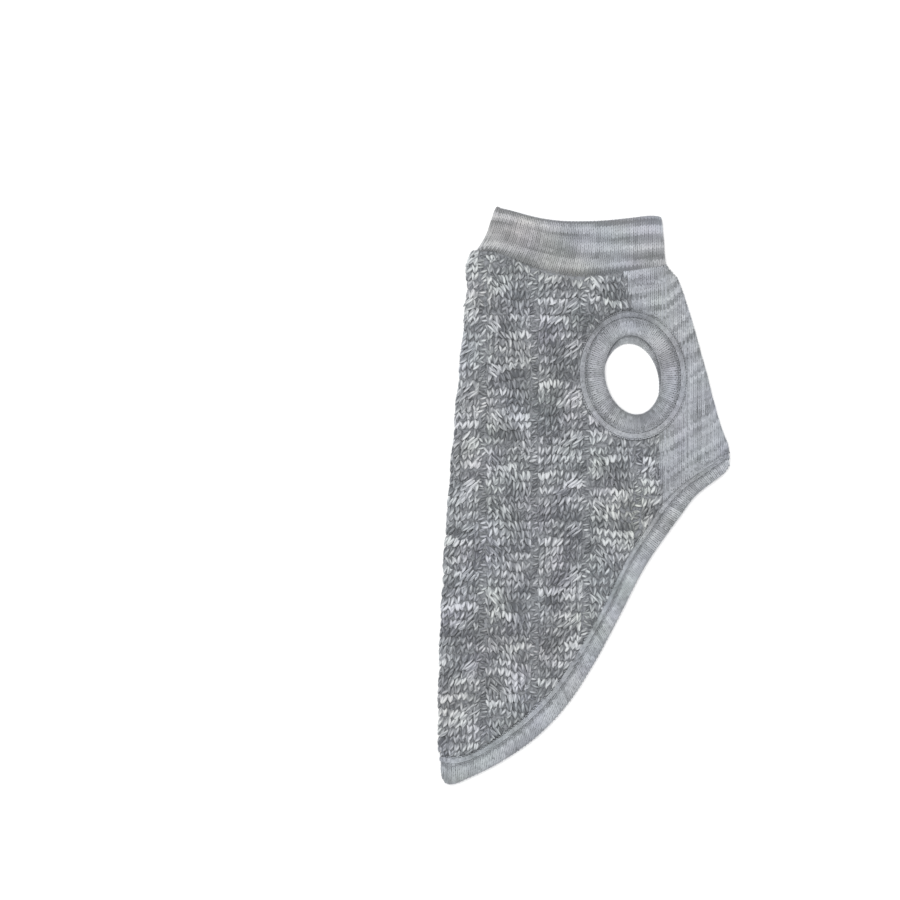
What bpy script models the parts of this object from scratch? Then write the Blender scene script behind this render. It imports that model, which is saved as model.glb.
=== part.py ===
"""Dog sweater laid flat on its side, the spine fold on the left and the belly fold on the right.

Every size here is in millimetres, and new_piece turns it into metres. +Y runs to the collar and
+Z up. The cloth is a wall that lies in two layers, lower and upper, joined by the two folds.
"""
from collections import namedtuple
from math import cos, floor, hypot, pi, radians, sin

import bmesh
import bpy
import numpy as np
from mathutils import Matrix, Vector
from mathutils.geometry import delaunay_2d_cdt

MILLIMETRE = 0.001
Point = namedtuple("Point", "x y")
Row = namedtuple("Row", "across height")

# The cloth
LOWER_WALL = 2.2        # lower layer, flat underneath
HOLLOW = 1.0            # between the two layers
CABLE_WALL = 2.2        # back panel under its cables
RIB_WALL = 2.0          # chest panel under its ribs
BAND_WALL = 2.6         # doubled rib of the collar and the hem bands
FOLD_RADIUS = 3.4       # from the fold's outermost line in to the flat
SEAM_GAP = 0.3          # between two pieces
SEAM_DIP = 0.7          # how far a panel's face sinks to its seams
SEAM_FADE = 3.0         # width over which it sinks
MIDDLE = LOWER_WALL + HOLLOW / 2

# The cables of the back panel
CABLE_WIDTH = 32.0      # from one purl ladder to the next
CABLE_REPEAT = 28.0     # from one crossing to the next in the same cable
CABLE_RELIEF = 2.0
LADDER_X = -31.3        # one of the ladders
LADDER_SHARE = 0.14     # of the cable's width, on each side
CABLE_FLOOR = 0.3       # share of the relief that is left between two crossings
CABLE_ROUNDNESS = 0.7   # 1 is a sine's hump, less is flatter on top
CABLE_COLUMNS = (0.0, 0.13, 0.315, 0.5, 0.685, 0.87)
CABLE_ROW = 4.0

# The ribs
RIB_PITCH = 2.05        # collar and chest
BAND_RIB_PITCH = 3.0    # hem and armhole bands
RIB_RELIEF = 0.45
RIB_ROW = 9.0

EDGE_STEP = 4.0         # between points along a panel's edge
LEAST_STEP = 1.0        # the closest that two of them come
EDGE_MARGIN = 1.0       # from a panel's edge to its nearest inner point
FOLD_STEP = 6.0         # between points along a fold
PLAIN_STEP = 6.0        # between points along the plain lower layer of a band
CURVE_STEP = 0.5        # between points of a curve before it is thinned
NEARLY = 0.05           # two places this close are the same
SHARP_EDGE = radians(50.0)

# The lines that the garment is folded on, from the neck down
SPINE_LINE = [Point(-56.1, 179.2), Point(-59.2, 169.9), Point(-62.0, 161.8), Point(-67.3, 153.1),
              Point(-73.3, 145.4), Point(-73.2, 127.7), Point(-76.6, 90.5), Point(-82.2, 28.5),
              Point(-87.1, -33.5), Point(-90.2, -99.2), Point(-90.8, -151.3), Point(-89.6, -175.5)]
BELLY_LINE = [Point(48.7, 173.0), Point(49.9, 158.7), Point(51.8, 142.6), Point(58.4, 134.0),
              Point(62.3, 124.0), Point(74.1, 84.3), Point(84.6, 44.6), Point(90.0, 29.1),
              Point(90.8, 22.3)]

# The seams and the free edges, from the spine to the belly
COLLAR_EDGE = [Point(-56.1, 179.2), Point(-45.0, 176.7), Point(-30.1, 172.7), Point(-15.2, 170.5),
               Point(9.6, 170.5), Point(29.5, 172.4), Point(40.6, 173.6), Point(48.7, 173.0)]
NECK_SEAM = [Point(-67.3, 153.1), Point(-59.2, 153.1), Point(-51.2, 151.3), Point(-38.8, 145.1),
             Point(-27.6, 140.7), Point(-12.1, 137.0), Point(3.4, 136.4), Point(25.1, 138.9),
             Point(51.8, 142.6)]
BAND_SEAM = [Point(-90.4, -161.0), Point(-80.3, -161.8), Point(-67.9, -158.1), Point(-45.0, -143.2),
             Point(-21.4, -121.5), Point(-2.8, -95.5), Point(14.0, -65.7), Point(26.4, -39.7),
             Point(40.6, -18.0), Point(50.2, -4.3), Point(59.2, 6.8), Point(68.5, 14.3),
             Point(77.8, 20.4), Point(90.0, 29.1)]
HEM_EDGE = [Point(-89.6, -175.5), Point(-83.4, -178.6), Point(-69.8, -173.6), Point(-50.5, -163.7),
            Point(-29.5, -148.8), Point(-10.9, -129.0), Point(5.3, -104.2), Point(21.4, -74.4),
            Point(37.5, -43.4), Point(60.5, -10.5), Point(68.5, 0.0), Point(80.9, 9.9),
            Point(87.7, 15.5), Point(90.8, 22.3)]

# The seam between back and chest, from the neck to the hem, and the hem bands' own join
SIDE_SEAM = [Point(25.1, 138.9), Point(27.6, 130.2), Point(30.1, 115.3), Point(34.4, 90.5),
             Point(44.3, 53.3), Point(47.1, 39.7), Point(46.5, 22.3), Point(47.4, 9.9),
             Point(50.2, -4.3)]
HEM_JOIN = Point(60.5, -10.5)

# The armhole bands, with the near one's section as shares of its width and millimetres of height
ARMHOLE = Point(29.8, 74.7)
FAR_ARMHOLE_SHIFT = Point(-1.9, -6.2)
ARMHOLE_OUTER = Point(32.2, 40.0)
ARMHOLE_INNER = Point(17.4, 24.9)
ARMHOLE_TILT = radians(6.0)
ARMHOLE_STATIONS = 112
FAR_STATIONS = 48
GROOVE = 0.21           # where the band is sewn on, as a share of its width
NEAR_SECTION = [Row(0.0, 0.0), Row(0.0, 1.8), Row(0.10, 2.6), Row(GROOVE, 1.9), Row(0.34, 2.9),
                Row(0.80, 2.9), Row(1.0, 1.5), Row(1.0, 0.0)]
FAR_SECTION = [Row(0.0, 0.0), Row(0.0, LOWER_WALL), Row(1.0, LOWER_WALL), Row(1.0, 0.0)]

# Across a band from its seam to its free edge, as shares of its width and of its wall
COLLAR_SECTION = [Row(0.0, 0.0), Row(0.0, 0.75), Row(0.08, 1.0), Row(0.5, 1.0), Row(0.93, 1.0),
                  Row(1.0, 0.55), Row(1.0, 0.0)]
HEM_SECTION = [Row(0.0, 0.0), Row(0.0, 0.75), Row(0.16, 1.0), Row(0.82, 1.0), Row(1.0, 0.55),
               Row(1.0, 0.0)]

# Colours, as the mean of each yarn, with the roughness of wool
CABLE_YARN = (0.33, 0.34, 0.36, 1.0)
RIB_YARN = (0.37, 0.39, 0.43, 1.0)
ROUGHNESS = 0.9


# Curves

def smooth(points):
    """A smooth curve through the points, in steps of about CURVE_STEP."""
    points = np.array(points)
    path = np.array([2 * points[0] - points[1], *points, 2 * points[-1] - points[-2]])
    knots = np.concatenate([[0.0], np.cumsum(np.hypot(*np.diff(path, axis=0).T) ** 0.5)])
    found = []
    for k in range(1, len(path) - 2):
        count = max(2, round(np.hypot(*(path[k + 1] - path[k])) / CURVE_STEP))
        for t in np.linspace(knots[k], knots[k + 1], count, endpoint=False):
            found.append(blended(path[k - 1:k + 3], knots[k - 1:k + 3], t))
    return np.array([*found, path[-2]])


def blended(points, knots, t):
    """The point at knot t on the curve through four points, by three rounds of blending neighbours."""
    blend = points
    for ends in (((0, 1), (1, 2), (2, 3)), ((0, 2), (1, 3)), ((1, 2),)):
        blend = [a + (b - a) * (t - knots[low]) / (knots[high] - knots[low])
                 for a, b, (low, high) in zip(blend, blend[1:], ends)]
    return blend[0]


def lengths(path):
    """The distance along the path at each of its points."""
    steps = np.hypot(*np.diff(path, axis=0).T)
    return np.concatenate([[0.0], np.cumsum(steps)])


def along(path, shares):
    """Points at the given shares of the path's length."""
    marks = lengths(path)
    places = np.asarray(shares) * marks[-1]
    return np.column_stack([np.interp(places, marks, path[:, 0]), np.interp(places, marks, path[:, 1])])


def thinned(path, step):
    """The same path in even steps of about the given size."""
    count = max(1, round(lengths(path)[-1] / step))
    return along(path, np.linspace(0, 1, count + 1))


def split(path, place):
    """The path before and after its nearest point to a place."""
    nearest = int(np.argmin(np.hypot(*(path - place).T)))
    return path[:nearest + 1], path[nearest:]


# The folds

class Fold:
    """One fold of the garment: its line, and the direction from it into the cloth."""

    def __init__(self, line, inward):
        path = smooth(line)
        order = np.argsort(path[:, 1])
        self.heights = path[order, 1]
        self.edge = path[order, 0]
        self.inward = inward

    def x(self, y):
        return float(np.interp(y, self.heights, self.edge))

    def inset(self, x, y):
        """How far a place lies in from the fold's outermost line."""
        return max(0.0, (x - self.x(y)) * self.inward)


SPINE = Fold(SPINE_LINE, 1.0)
BELLY = Fold(BELLY_LINE, -1.0)


def nearest_fold(x, y):
    return SPINE if SPINE.inset(x, y) < BELLY.inset(x, y) else BELLY


def turned(layer, x, y):
    """The share of a quarter turn that the cloth has made: 1 on the upper flat, -1 on the lower."""
    return layer * min(1.0, nearest_fold(x, y).inset(x, y) / FOLD_RADIUS)


def laid(layer, x, y, height):
    """Where a point of the cloth lies, a height out from its inside; layer 0 is the fold's edge."""
    fold = nearest_fold(x, y)
    angle = turned(layer, x, y) * pi / 2
    radius = HOLLOW / 2 + height
    if layer == 0 or fold.inset(x, y) < FOLD_RADIUS:
        x = fold.x(y) + fold.inward * (FOLD_RADIUS - radius * cos(angle))
    return Vector((x, y, MIDDLE + radius * sin(angle)))


def wall(layer, x, y, upper):
    """The wall's thickness: the lower layer's own, the upper layer's, or between on a fold."""
    return LOWER_WALL + (upper - LOWER_WALL) * (1 + turned(layer, x, y)) / 2


# Relief

def cable(x, y):
    """How high the cables stand over the back panel's wall: slanting lobes between ladders."""
    column = (x - LADDER_X) / CABLE_WIDTH
    number = floor(column)
    across = column - number
    ladder = min(1.0, min(across, 1 - across) / LADDER_SHARE)
    if number % 2:
        across = 1 - across
    phase = (y / CABLE_REPEAT + 0.5 * (number % 2) - across) % 1.0
    hump = sin(pi * phase) ** CABLE_ROUNDNESS
    return CABLE_RELIEF * ladder * (CABLE_FLOOR + (1 - CABLE_FLOOR) * hump)


def rib(x, y):
    """How high the ribs stand over the chest panel's wall."""
    return RIB_RELIEF * (round(2 * x / RIB_PITCH) % 2)


# Meshes

def new_piece(name, points, faces, material):
    """A closed solid from points in millimetres."""
    mesh = bmesh.new()
    verts = [mesh.verts.new(point * MILLIMETRE) for point in points]
    for face in faces:
        mesh.faces.new([verts[i] for i in face])
    bmesh.ops.recalc_face_normals(mesh, faces=mesh.faces)
    bmesh.ops.triangulate(mesh, faces=[f for f in mesh.faces if len(f.verts) > 3])
    data = bpy.data.meshes.new(name)
    mesh.to_mesh(data)
    mesh.free()
    data.shade_smooth()
    data.set_sharp_from_angle(angle=SHARP_EDGE)
    data.materials.append(material)
    piece = bpy.data.objects.new(name, data)
    collection.objects.link(piece)
    return piece


def swept(name, stations, section, spot, closed, material):
    """A band: the section carried through the stations; spot places one section point."""
    rows = len(section)
    points = [spot(number, station, row) for number, station in enumerate(stations) for row in section]
    faces = []
    spans = len(stations) if closed else len(stations) - 1
    for i in range(spans):
        here, there = i * rows, (i + 1) % len(stations) * rows
        for j in range(rows):
            k = (j + 1) % rows
            faces.append((here + j, here + k, there + k, there + j))
    if not closed:
        faces.append(tuple(range(rows)))
        faces.append(tuple(range((len(stations) - 1) * rows, len(stations) * rows)))
    return new_piece(name, points, faces, material)


# Panels

def distance_in(outline, point):
    """How far inside a closed outline a point lies; negative outside it."""
    ends = np.roll(outline, -1, axis=0)
    run = ends - outline
    share = np.clip(((point - outline) * run).sum(axis=1) / (run * run).sum(axis=1), 0, 1)
    gap = np.hypot(*(outline + run * share[:, None] - point).T).min()
    crosses = (outline[:, 1] > point[1]) != (ends[:, 1] > point[1])
    rise = np.where(run[:, 1] == 0, 1.0, run[:, 1])
    at = outline[:, 0] + (point[1] - outline[:, 1]) / rise * run[:, 0]
    inside = np.count_nonzero(crosses & (point[0] < at)) % 2
    return gap if inside else -gap


def drawn_in(outline, distance):
    """A closed outline moved inwards by the distance."""
    run = np.roll(outline, -1, axis=0) - outline
    run /= np.hypot(*run.T)[:, None]
    before = np.roll(run, 1, axis=0)
    area = (outline[:, 0] * np.roll(outline[:, 1], -1) - np.roll(outline[:, 0], -1) * outline[:, 1]).sum()
    turn = np.sign(area)
    normal = turn * np.column_stack([-run[:, 1] - before[:, 1], run[:, 0] + before[:, 0]])
    size = (normal * normal).sum(axis=1)
    return outline + normal * (2 * distance / np.maximum(size, 1.0))[:, None]


def armhole_arc(centre, seam, clockwise):
    """The armhole band's outer edge between the seam's way in and its way out."""
    inside = [i for i, p in enumerate(seam) if armhole_share(centre, p) < 1]
    entry, leave = seam[inside[0]], seam[inside[-1]]
    start, stop = armhole_angle(centre, entry), armhole_angle(centre, leave)
    if clockwise:
        stop -= 2 * pi * (stop > start)
    else:
        stop += 2 * pi * (stop < start)
    turns = np.linspace(start, stop, round(abs(stop - start) * ARMHOLE_OUTER.y / EDGE_STEP))
    arc = np.array([armhole_point(centre, ARMHOLE_OUTER, turn) for turn in turns])
    return seam[:inside[0]], arc, seam[inside[-1] + 1:]


def armhole_point(centre, radii, turn):
    x, y = radii.x * cos(turn), radii.y * sin(turn)
    return np.array((centre.x + x * cos(ARMHOLE_TILT) - y * sin(ARMHOLE_TILT),
                     centre.y + x * sin(ARMHOLE_TILT) + y * cos(ARMHOLE_TILT)))


def armhole_local(centre, point):
    x, y = point[0] - centre.x, point[1] - centre.y
    return (x * cos(ARMHOLE_TILT) + y * sin(ARMHOLE_TILT)) / ARMHOLE_OUTER.x, (
        y * cos(ARMHOLE_TILT) - x * sin(ARMHOLE_TILT)) / ARMHOLE_OUTER.y


def armhole_share(centre, point):
    return hypot(*armhole_local(centre, point))


def armhole_angle(centre, point):
    across, up = armhole_local(centre, point)
    return float(np.arctan2(up, across)) % (2 * pi)


def layer_edge(neck, band, centre, clockwise):
    """One layer's edge, from the fold at the neck round to the fold at the hem."""
    above, arc, below = armhole_arc(centre, smooth(SIDE_SEAM), clockwise)
    parts = [thinned(neck, EDGE_STEP), thinned(above, EDGE_STEP)[1:], arc,
             thinned(below, EDGE_STEP)[:-1], thinned(band, EDGE_STEP)]
    edge = np.concatenate(parts)
    kept = [edge[0]]
    for point in edge[1:]:
        if hypot(*(point - kept[-1])) > LEAST_STEP:
            kept.append(point)
    return np.array(kept)


def fold_marks(fold, edge):
    """The edge as distances in from the fold, with points where the fold begins and half way."""
    plain = [(fold.inset(x, y), y) for x, y in edge]
    plain[0], plain[-1] = (0.0, plain[0][1]), (0.0, plain[-1][1])
    marked = [plain[0]]
    for here, there in zip(plain, plain[1:]):
        marks = [m for m in (FOLD_RADIUS / 2, FOLD_RADIUS)
                 if min(here[0], there[0]) + NEARLY < m < max(here[0], there[0]) - NEARLY]
        for mark in marks if here[0] < there[0] else reversed(marks):
            share = (mark - here[0]) / (there[0] - here[0])
            marked.append((mark, here[1] + share * (there[1] - here[1])))
        marked.append(there)
    return np.array(marked)


def well_inside(outline, columns):
    """The points of the columns that lie well inside an outline, and the links down each column."""
    points, links = [], []
    for column in columns:
        linked = False
        for point in column:
            if distance_in(outline, point) < EDGE_MARGIN:
                linked = False
                continue
            if linked:
                links.append((len(points) - 1, len(points)))
            points.append(point)
            linked = True
    return points, links


def panel(name, fold, edges, relief, columns, upper, material):
    """A piece of cloth wrapped over a fold: a plain inside, and an outside that takes the relief."""
    over, under = (fold_marks(fold, edge) for edge in edges)
    outline = np.concatenate([over, (under * (-1, 1))[-2:0:-1]])
    outline = drawn_in(outline, SEAM_GAP / 2)
    rows = np.arange(outline[:, 1].min(), outline[:, 1].max(), FOLD_STEP)
    creases = [[(FOLD_RADIUS * share, y) for y in rows] for share in (-1.0, -0.5, 0.0, 0.5, 1.0)]
    raised = [[(fold.inset(x, y), y) for x, y in column] for column in columns]
    raised = [[p for p in column if p[0] > FOLD_RADIUS + EDGE_MARGIN] for column in raised]

    def outside(s, y):
        layer, x = np.sign(s), fold.x(y) + fold.inward * abs(s)
        depth = min(1.0, max(0.0, distance_in(outline, (s, y))) / SEAM_FADE)
        return laid(layer, x, y, wall(layer, x, y, upper - SEAM_DIP * (1 - depth) + relief(x, y) * depth))

    def inside(s, y):
        return laid(np.sign(s), fold.x(y) + fold.inward * abs(s), y, 0.0)

    size = len(outline)
    points, faces = [], []
    for place, lines in ((outside, creases + raised), (inside, creases)):
        extra, links = well_inside(outline, lines)
        flat = [*outline, *extra]
        start = len(points)
        points += [place(s, y) for s, y in flat]
        faces += [[start + i for i in face] for face in triangles(flat, size, links)]
    faces += [(i, (i + 1) % size, start + (i + 1) % size, start + i) for i in range(size)]
    return new_piece(name, points, faces, material)


def triangles(flat, size, links):
    """Triangles inside the outline that the first points make, with an edge along each link."""
    links = [(size + a, size + b) for a, b in links]
    found = delaunay_2d_cdt([Vector(p) for p in flat], links, [list(range(size))], 1, 1e-7)
    source = [origin[0] for origin in found[3]]
    return [[source[i] for i in face] for face in found[2]]


def back_panel(material):
    neck = split(smooth(NECK_SEAM), SIDE_SEAM[0])[0]
    band = split(smooth(BAND_SEAM), SIDE_SEAM[-1])[0][::-1]
    edges = [layer_edge(neck, band, centre, False) for centre in armholes()]
    first = floor((SPINE_LINE[-2].x - LADDER_X) / CABLE_WIDTH)
    last = floor((SIDE_SEAM[-1].x - LADDER_X) / CABLE_WIDTH)
    rows = np.arange(HEM_EDGE[1].y, COLLAR_EDGE[0].y, CABLE_ROW)
    columns = [[(LADDER_X + CABLE_WIDTH * (number + share), y) for y in rows]
               for number in range(first, last + 1) for share in CABLE_COLUMNS]
    return panel("back_panel", SPINE, edges, cable, columns, CABLE_WALL, material)


def chest_panel(material):
    neck = split(smooth(NECK_SEAM), SIDE_SEAM[0])[1][::-1]
    band = split(smooth(BAND_SEAM), SIDE_SEAM[-1])[1]
    edges = [layer_edge(neck, band, centre, True) for centre in armholes()]
    rows = np.arange(SIDE_SEAM[-1].y, NECK_SEAM[-1].y, RIB_ROW)
    columns = [[(number * RIB_PITCH / 2, y) for y in rows]
               for number in range(round(2 * BELLY_LINE[-1].x / RIB_PITCH))]
    return panel("chest_panel", BELLY, edges, rib, columns, RIB_WALL, material)


def armholes():
    far = Point(ARMHOLE.x + FAR_ARMHOLE_SHIFT.x, ARMHOLE.y + FAR_ARMHOLE_SHIFT.y)
    return ARMHOLE, far


# Bands

def ribbed(number, row, height):
    """The height with every other station's ribs raised, but not on the section's edges."""
    raised = number % 2 and 0.0 < row.across < 1.0 and row.height > 0.0
    return height + RIB_RELIEF * raised


def band_spot(seam, edge, bow=None):
    """A function that places a section point of a band between its seam and its free edge."""
    def spot(number, station, row):
        layer, share = station
        sewn, free = along(seam, [share])[0], along(edge, [share])[0]
        inset = SEAM_GAP / 2 / hypot(*(free - sewn))
        across = inset + (1 - inset) * row.across
        x, y = sewn * (1 - across) + free * across
        if bow:
            x += bow(share, across)
        height = wall(layer, x, y, BAND_WALL) * row.height
        if layer > 0:
            height = ribbed(number, row, height)
        return laid(layer, x, y, lower_flat(layer, row, height))
    return spot


def lower_flat(layer, row, height):
    """The lower layer's edges aren't rounded, so that the band rests on its whole width."""
    return LOWER_WALL if layer < 0 and row.height > 0 else height


def fold_stations(length):
    return [FOLD_RADIUS * share / length for share in (0.5, 1.0)]


def rib_shares(start, stop, length, pitch):
    """Shares of a band's length at the ribs' tops and valleys."""
    count = 2 * round((stop - start) * length / pitch)
    return list(np.linspace(start, stop, count + 1))


def hem_band(name, seam, edge, material):
    """A strip that starts at a fold and ends at the side seam, in both layers."""
    length = (lengths(seam)[-1] + lengths(edge)[-1]) / 2
    half, flat = fold_stations(length)
    end = 1 - SEAM_GAP / 2 / length
    upper = [(1, share) for share in [half, *rib_shares(flat, end, length, BAND_RIB_PITCH)]]
    plain = np.linspace(flat, end, round(length / PLAIN_STEP))
    lower = [(-1, share) for share in [half, *plain]]
    stations = [*lower[::-1], (0, 0.0), *upper]
    return swept(name, stations, HEM_SECTION, band_spot(seam, edge), False, material)


def hem_bands(material):
    back_seam, chest_seam = split(smooth(BAND_SEAM), SIDE_SEAM[-1])
    back_edge, chest_edge = split(smooth(HEM_EDGE), HEM_JOIN)
    hem_band("hem_band_back", back_seam, back_edge, material)
    hem_band("hem_band_chest", chest_seam[::-1], chest_edge[::-1], material)


def collar(material):
    """A ring round the neck, from its seam to its folded edge."""
    seam, edge = smooth(NECK_SEAM), smooth(COLLAR_EDGE)
    length = (lengths(seam)[-1] + lengths(edge)[-1]) / 2
    half, flat = fold_stations(length)
    ribs = rib_shares(flat, 1 - flat, length, RIB_PITCH)
    plain = np.linspace(flat, 1 - flat, round(length / PLAIN_STEP))[::-1]
    stations = [(0, 0.0), (1, half), *((1, share) for share in ribs), (1, 1 - half), (0, 1.0),
                (-1, 1 - half), *((-1, share) for share in plain), (-1, half)]

    def bow(share, across):
        """How far the collar's sides curve off the straight lines between its corners."""
        off = []
        for fold, end in ((SPINE, 0), (BELLY, -1)):
            x, y = seam[end] * (1 - across) + edge[end] * across
            off.append(fold.x(y) - x)
        return off[0] * (1 - share) + off[1] * share

    return swept("collar", stations, COLLAR_SECTION, band_spot(seam, edge, bow), True, material)


def armhole_band(name, centre, base, section, count, relief, material):
    """A ring round an armhole, with its outer bead, its seam groove and its rounded inner edge."""
    reach = Point(ARMHOLE_OUTER.x - SEAM_GAP / 2, ARMHOLE_OUTER.y - SEAM_GAP / 2)

    def spot(number, turn, row):
        outer = armhole_point(centre, reach, turn)
        inner = armhole_point(centre, ARMHOLE_INNER, turn)
        x, y = outer + (inner - outer) * row.across
        raised = relief * (number % 2) if GROOVE < row.across < 1.0 else 0.0
        return Vector((x, y, base + row.height + raised))

    turns = np.linspace(0, 2 * pi, count, endpoint=False)
    return swept(name, turns, section, spot, True, material)


def armhole_bands(material):
    near, far = armholes()
    armhole_band("armhole_band_near", near, LOWER_WALL + HOLLOW, NEAR_SECTION, ARMHOLE_STATIONS,
                 RIB_RELIEF, material)
    armhole_band("armhole_band_far", far, 0.0, FAR_SECTION, FAR_STATIONS, 0.0, material)


# Scene

def clear_scene():
    for thing in list(bpy.data.objects):
        bpy.data.objects.remove(thing, do_unlink=True)


def new_material(name, colour):
    material = bpy.data.materials.new(name)
    material.use_nodes = True
    shader = material.node_tree.nodes["Principled BSDF"]
    shader.inputs["Base Color"].default_value = colour
    shader.inputs["Roughness"].default_value = ROUGHNESS
    shader.inputs["Metallic"].default_value = 0.0
    return material


def new_collection(name):
    made = bpy.data.collections.new(name)
    bpy.context.scene.collection.children.link(made)
    return made


def centre_pieces():
    """Puts the origin under the middle of the garment's box, on the surface that it lies on."""
    corners = np.array([corner.co for piece in collection.objects for corner in piece.data.vertices])
    low, high = corners.min(axis=0), corners.max(axis=0)
    shift = Vector((-(low[0] + high[0]) / 2, -(low[1] + high[1]) / 2, -low[2]))
    for piece in collection.objects:
        piece.data.transform(Matrix.Translation(shift))


clear_scene()
collection = new_collection("dog_sweater")
cable_knit = new_material("cable_knit", CABLE_YARN)
rib_knit = new_material("rib_knit", RIB_YARN)
back_panel(cable_knit)
chest_panel(rib_knit)
collar(rib_knit)
hem_bands(rib_knit)
armhole_bands(rib_knit)
centre_pieces()
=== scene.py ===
"""A knitted dog sweater, laid flat on its side and dressed stitch by stitch over its solids.

The cloth lies in two layers, joined by a fold down the spine and one down the belly. Sizes are in
millimetres, and become metres where a mesh is made. +Y runs to the collar and +Z up.
"""
import random
from collections import namedtuple
from math import atan, atan2, ceil, cos, exp, floor, hypot, pi, radians, sin

import bmesh
import bpy
import numpy as np
from bpy.props import FloatProperty, FloatVectorProperty, PointerProperty
from bpy.types import NodeSocket, Operator, Panel, PropertyGroup
from mathutils import Matrix, Quaternion, Vector, noise
from mathutils.bvhtree import BVHTree


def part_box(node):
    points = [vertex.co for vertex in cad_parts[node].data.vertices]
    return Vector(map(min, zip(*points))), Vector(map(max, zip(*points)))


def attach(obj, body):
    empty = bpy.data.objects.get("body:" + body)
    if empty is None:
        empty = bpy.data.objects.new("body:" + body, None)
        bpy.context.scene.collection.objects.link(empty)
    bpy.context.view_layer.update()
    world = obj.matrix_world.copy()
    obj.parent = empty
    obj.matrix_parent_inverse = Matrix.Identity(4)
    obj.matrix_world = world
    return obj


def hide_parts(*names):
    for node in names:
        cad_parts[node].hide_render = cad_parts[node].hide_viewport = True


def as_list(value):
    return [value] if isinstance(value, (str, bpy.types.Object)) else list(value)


bl_info = {
    "name": "Knitted Dog Sweater",
    "version": (1, 0, 0),
    "blender": (4, 5, 0),
    "location": "3D View > Sidebar > Sweater",
    "description": "Dresses a flat-laid dog sweater with cable and rib stitches",
    "category": "Add Mesh",
}

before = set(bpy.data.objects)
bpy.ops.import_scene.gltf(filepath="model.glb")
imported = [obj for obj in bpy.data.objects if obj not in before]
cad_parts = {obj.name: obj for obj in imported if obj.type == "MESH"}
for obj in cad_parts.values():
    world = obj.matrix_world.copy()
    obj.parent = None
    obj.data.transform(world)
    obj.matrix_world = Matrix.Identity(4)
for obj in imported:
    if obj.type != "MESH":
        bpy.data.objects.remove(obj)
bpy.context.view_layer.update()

MILLIMETRE = 0.001
Point = namedtuple("Point", "x y")
Row = namedtuple("Row", "across height shade")
Crease = namedtuple("Crease", "x y to_x to_y width depth")
Patch = namedtuple("Patch", "along across seed strength")
Yarn = namedtuple("Yarn", "kind marl streaks tips warmth drift")


def table(kind, *rows):
    """Rows of one kind, each with its named columns."""
    return [kind(*row) for row in rows]


# The cloth, as in the solids
LOWER_WALL = 2.2
HOLLOW = 1.0
FOLD_RADIUS = 3.4
MIDDLE = LOWER_WALL + HOLLOW / 2
FOLD_REACH = 2.9        # mean radius of the cloth's outside round a fold
HALF_TURN = pi * FOLD_REACH
ABOVE = 20.0            # from the middle of the cloth to where a look at it starts

# The lines that the garment is folded on, from the neck down
SPINE_LINE = table(Point, (-56.1, 179.2), (-59.2, 169.9), (-62.0, 161.8), (-67.3, 153.1), (-73.3, 145.4),
                   (-73.2, 127.7), (-76.6, 90.5), (-82.2, 28.5), (-87.1, -33.5), (-90.2, -99.2),
                   (-90.8, -151.3), (-89.6, -175.5))
BELLY_LINE = table(Point, (48.7, 173.0), (49.9, 158.7), (51.8, 142.6), (58.4, 134.0), (62.3, 124.0),
                   (74.1, 84.3), (84.6, 44.6), (90.0, 29.1), (90.8, 22.3))

# The seams and the free edges, from the spine to the belly
COLLAR_EDGE = table(Point, (-56.1, 179.2), (-45.0, 176.7), (-30.1, 172.7), (-15.2, 170.5), (9.6, 170.5),
                    (29.5, 172.4), (40.6, 173.6), (48.7, 173.0))
NECK_SEAM = table(Point, (-69.3, 150.6), (-60.6, 151.4), (-52.0, 149.4), (-39.3, 144.0), (-27.6, 140.7),
                  (-12.1, 137.0), (3.4, 136.4), (25.1, 138.9), (51.8, 142.6))
BAND_SEAM = table(Point, (-90.4, -162.0), (-80.2, -163.0), (-67.4, -159.2), (-44.2, -144.1),
                  (-20.8, -122.0), (-2.8, -95.5), (14.0, -65.7), (26.4, -39.7), (40.6, -18.0),
                  (50.2, -4.3), (60.1, 5.8), (69.6, 12.6), (78.9, 18.8), (90.7, 27.4))
HEM_EDGE = table(Point, (-89.6, -175.5), (-83.4, -178.6), (-69.8, -173.6), (-50.5, -163.7),
                 (-29.5, -148.8), (-10.9, -129.0), (5.3, -104.2), (21.4, -74.4), (37.5, -43.4),
                 (60.5, -10.5), (68.5, 0.0), (80.9, 9.9), (87.7, 15.5), (90.8, 22.3))
SIDE_JOIN = Point(50.2, -4.3)
HEM_JOIN = Point(60.5, -10.5)

# The armhole bands
ARMHOLE = Point(29.8, 74.7)
FAR_ARMHOLE = Point(27.9, 68.5)
ARMHOLE_OUTER = Point(32.2, 40.0)
ARMHOLE_INNER = Point(17.4, 24.9)
ARMHOLE_TILT = radians(6.0)
FAR_PULL = Point(0.9, 1.2)      # of the far band's inner edge, stretched by wear
NEAR_PULL = Point(0.6, 1.0)     # of the near one's, at one place on it alone
NEAR_PULL_AT = radians(235.0)

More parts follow.
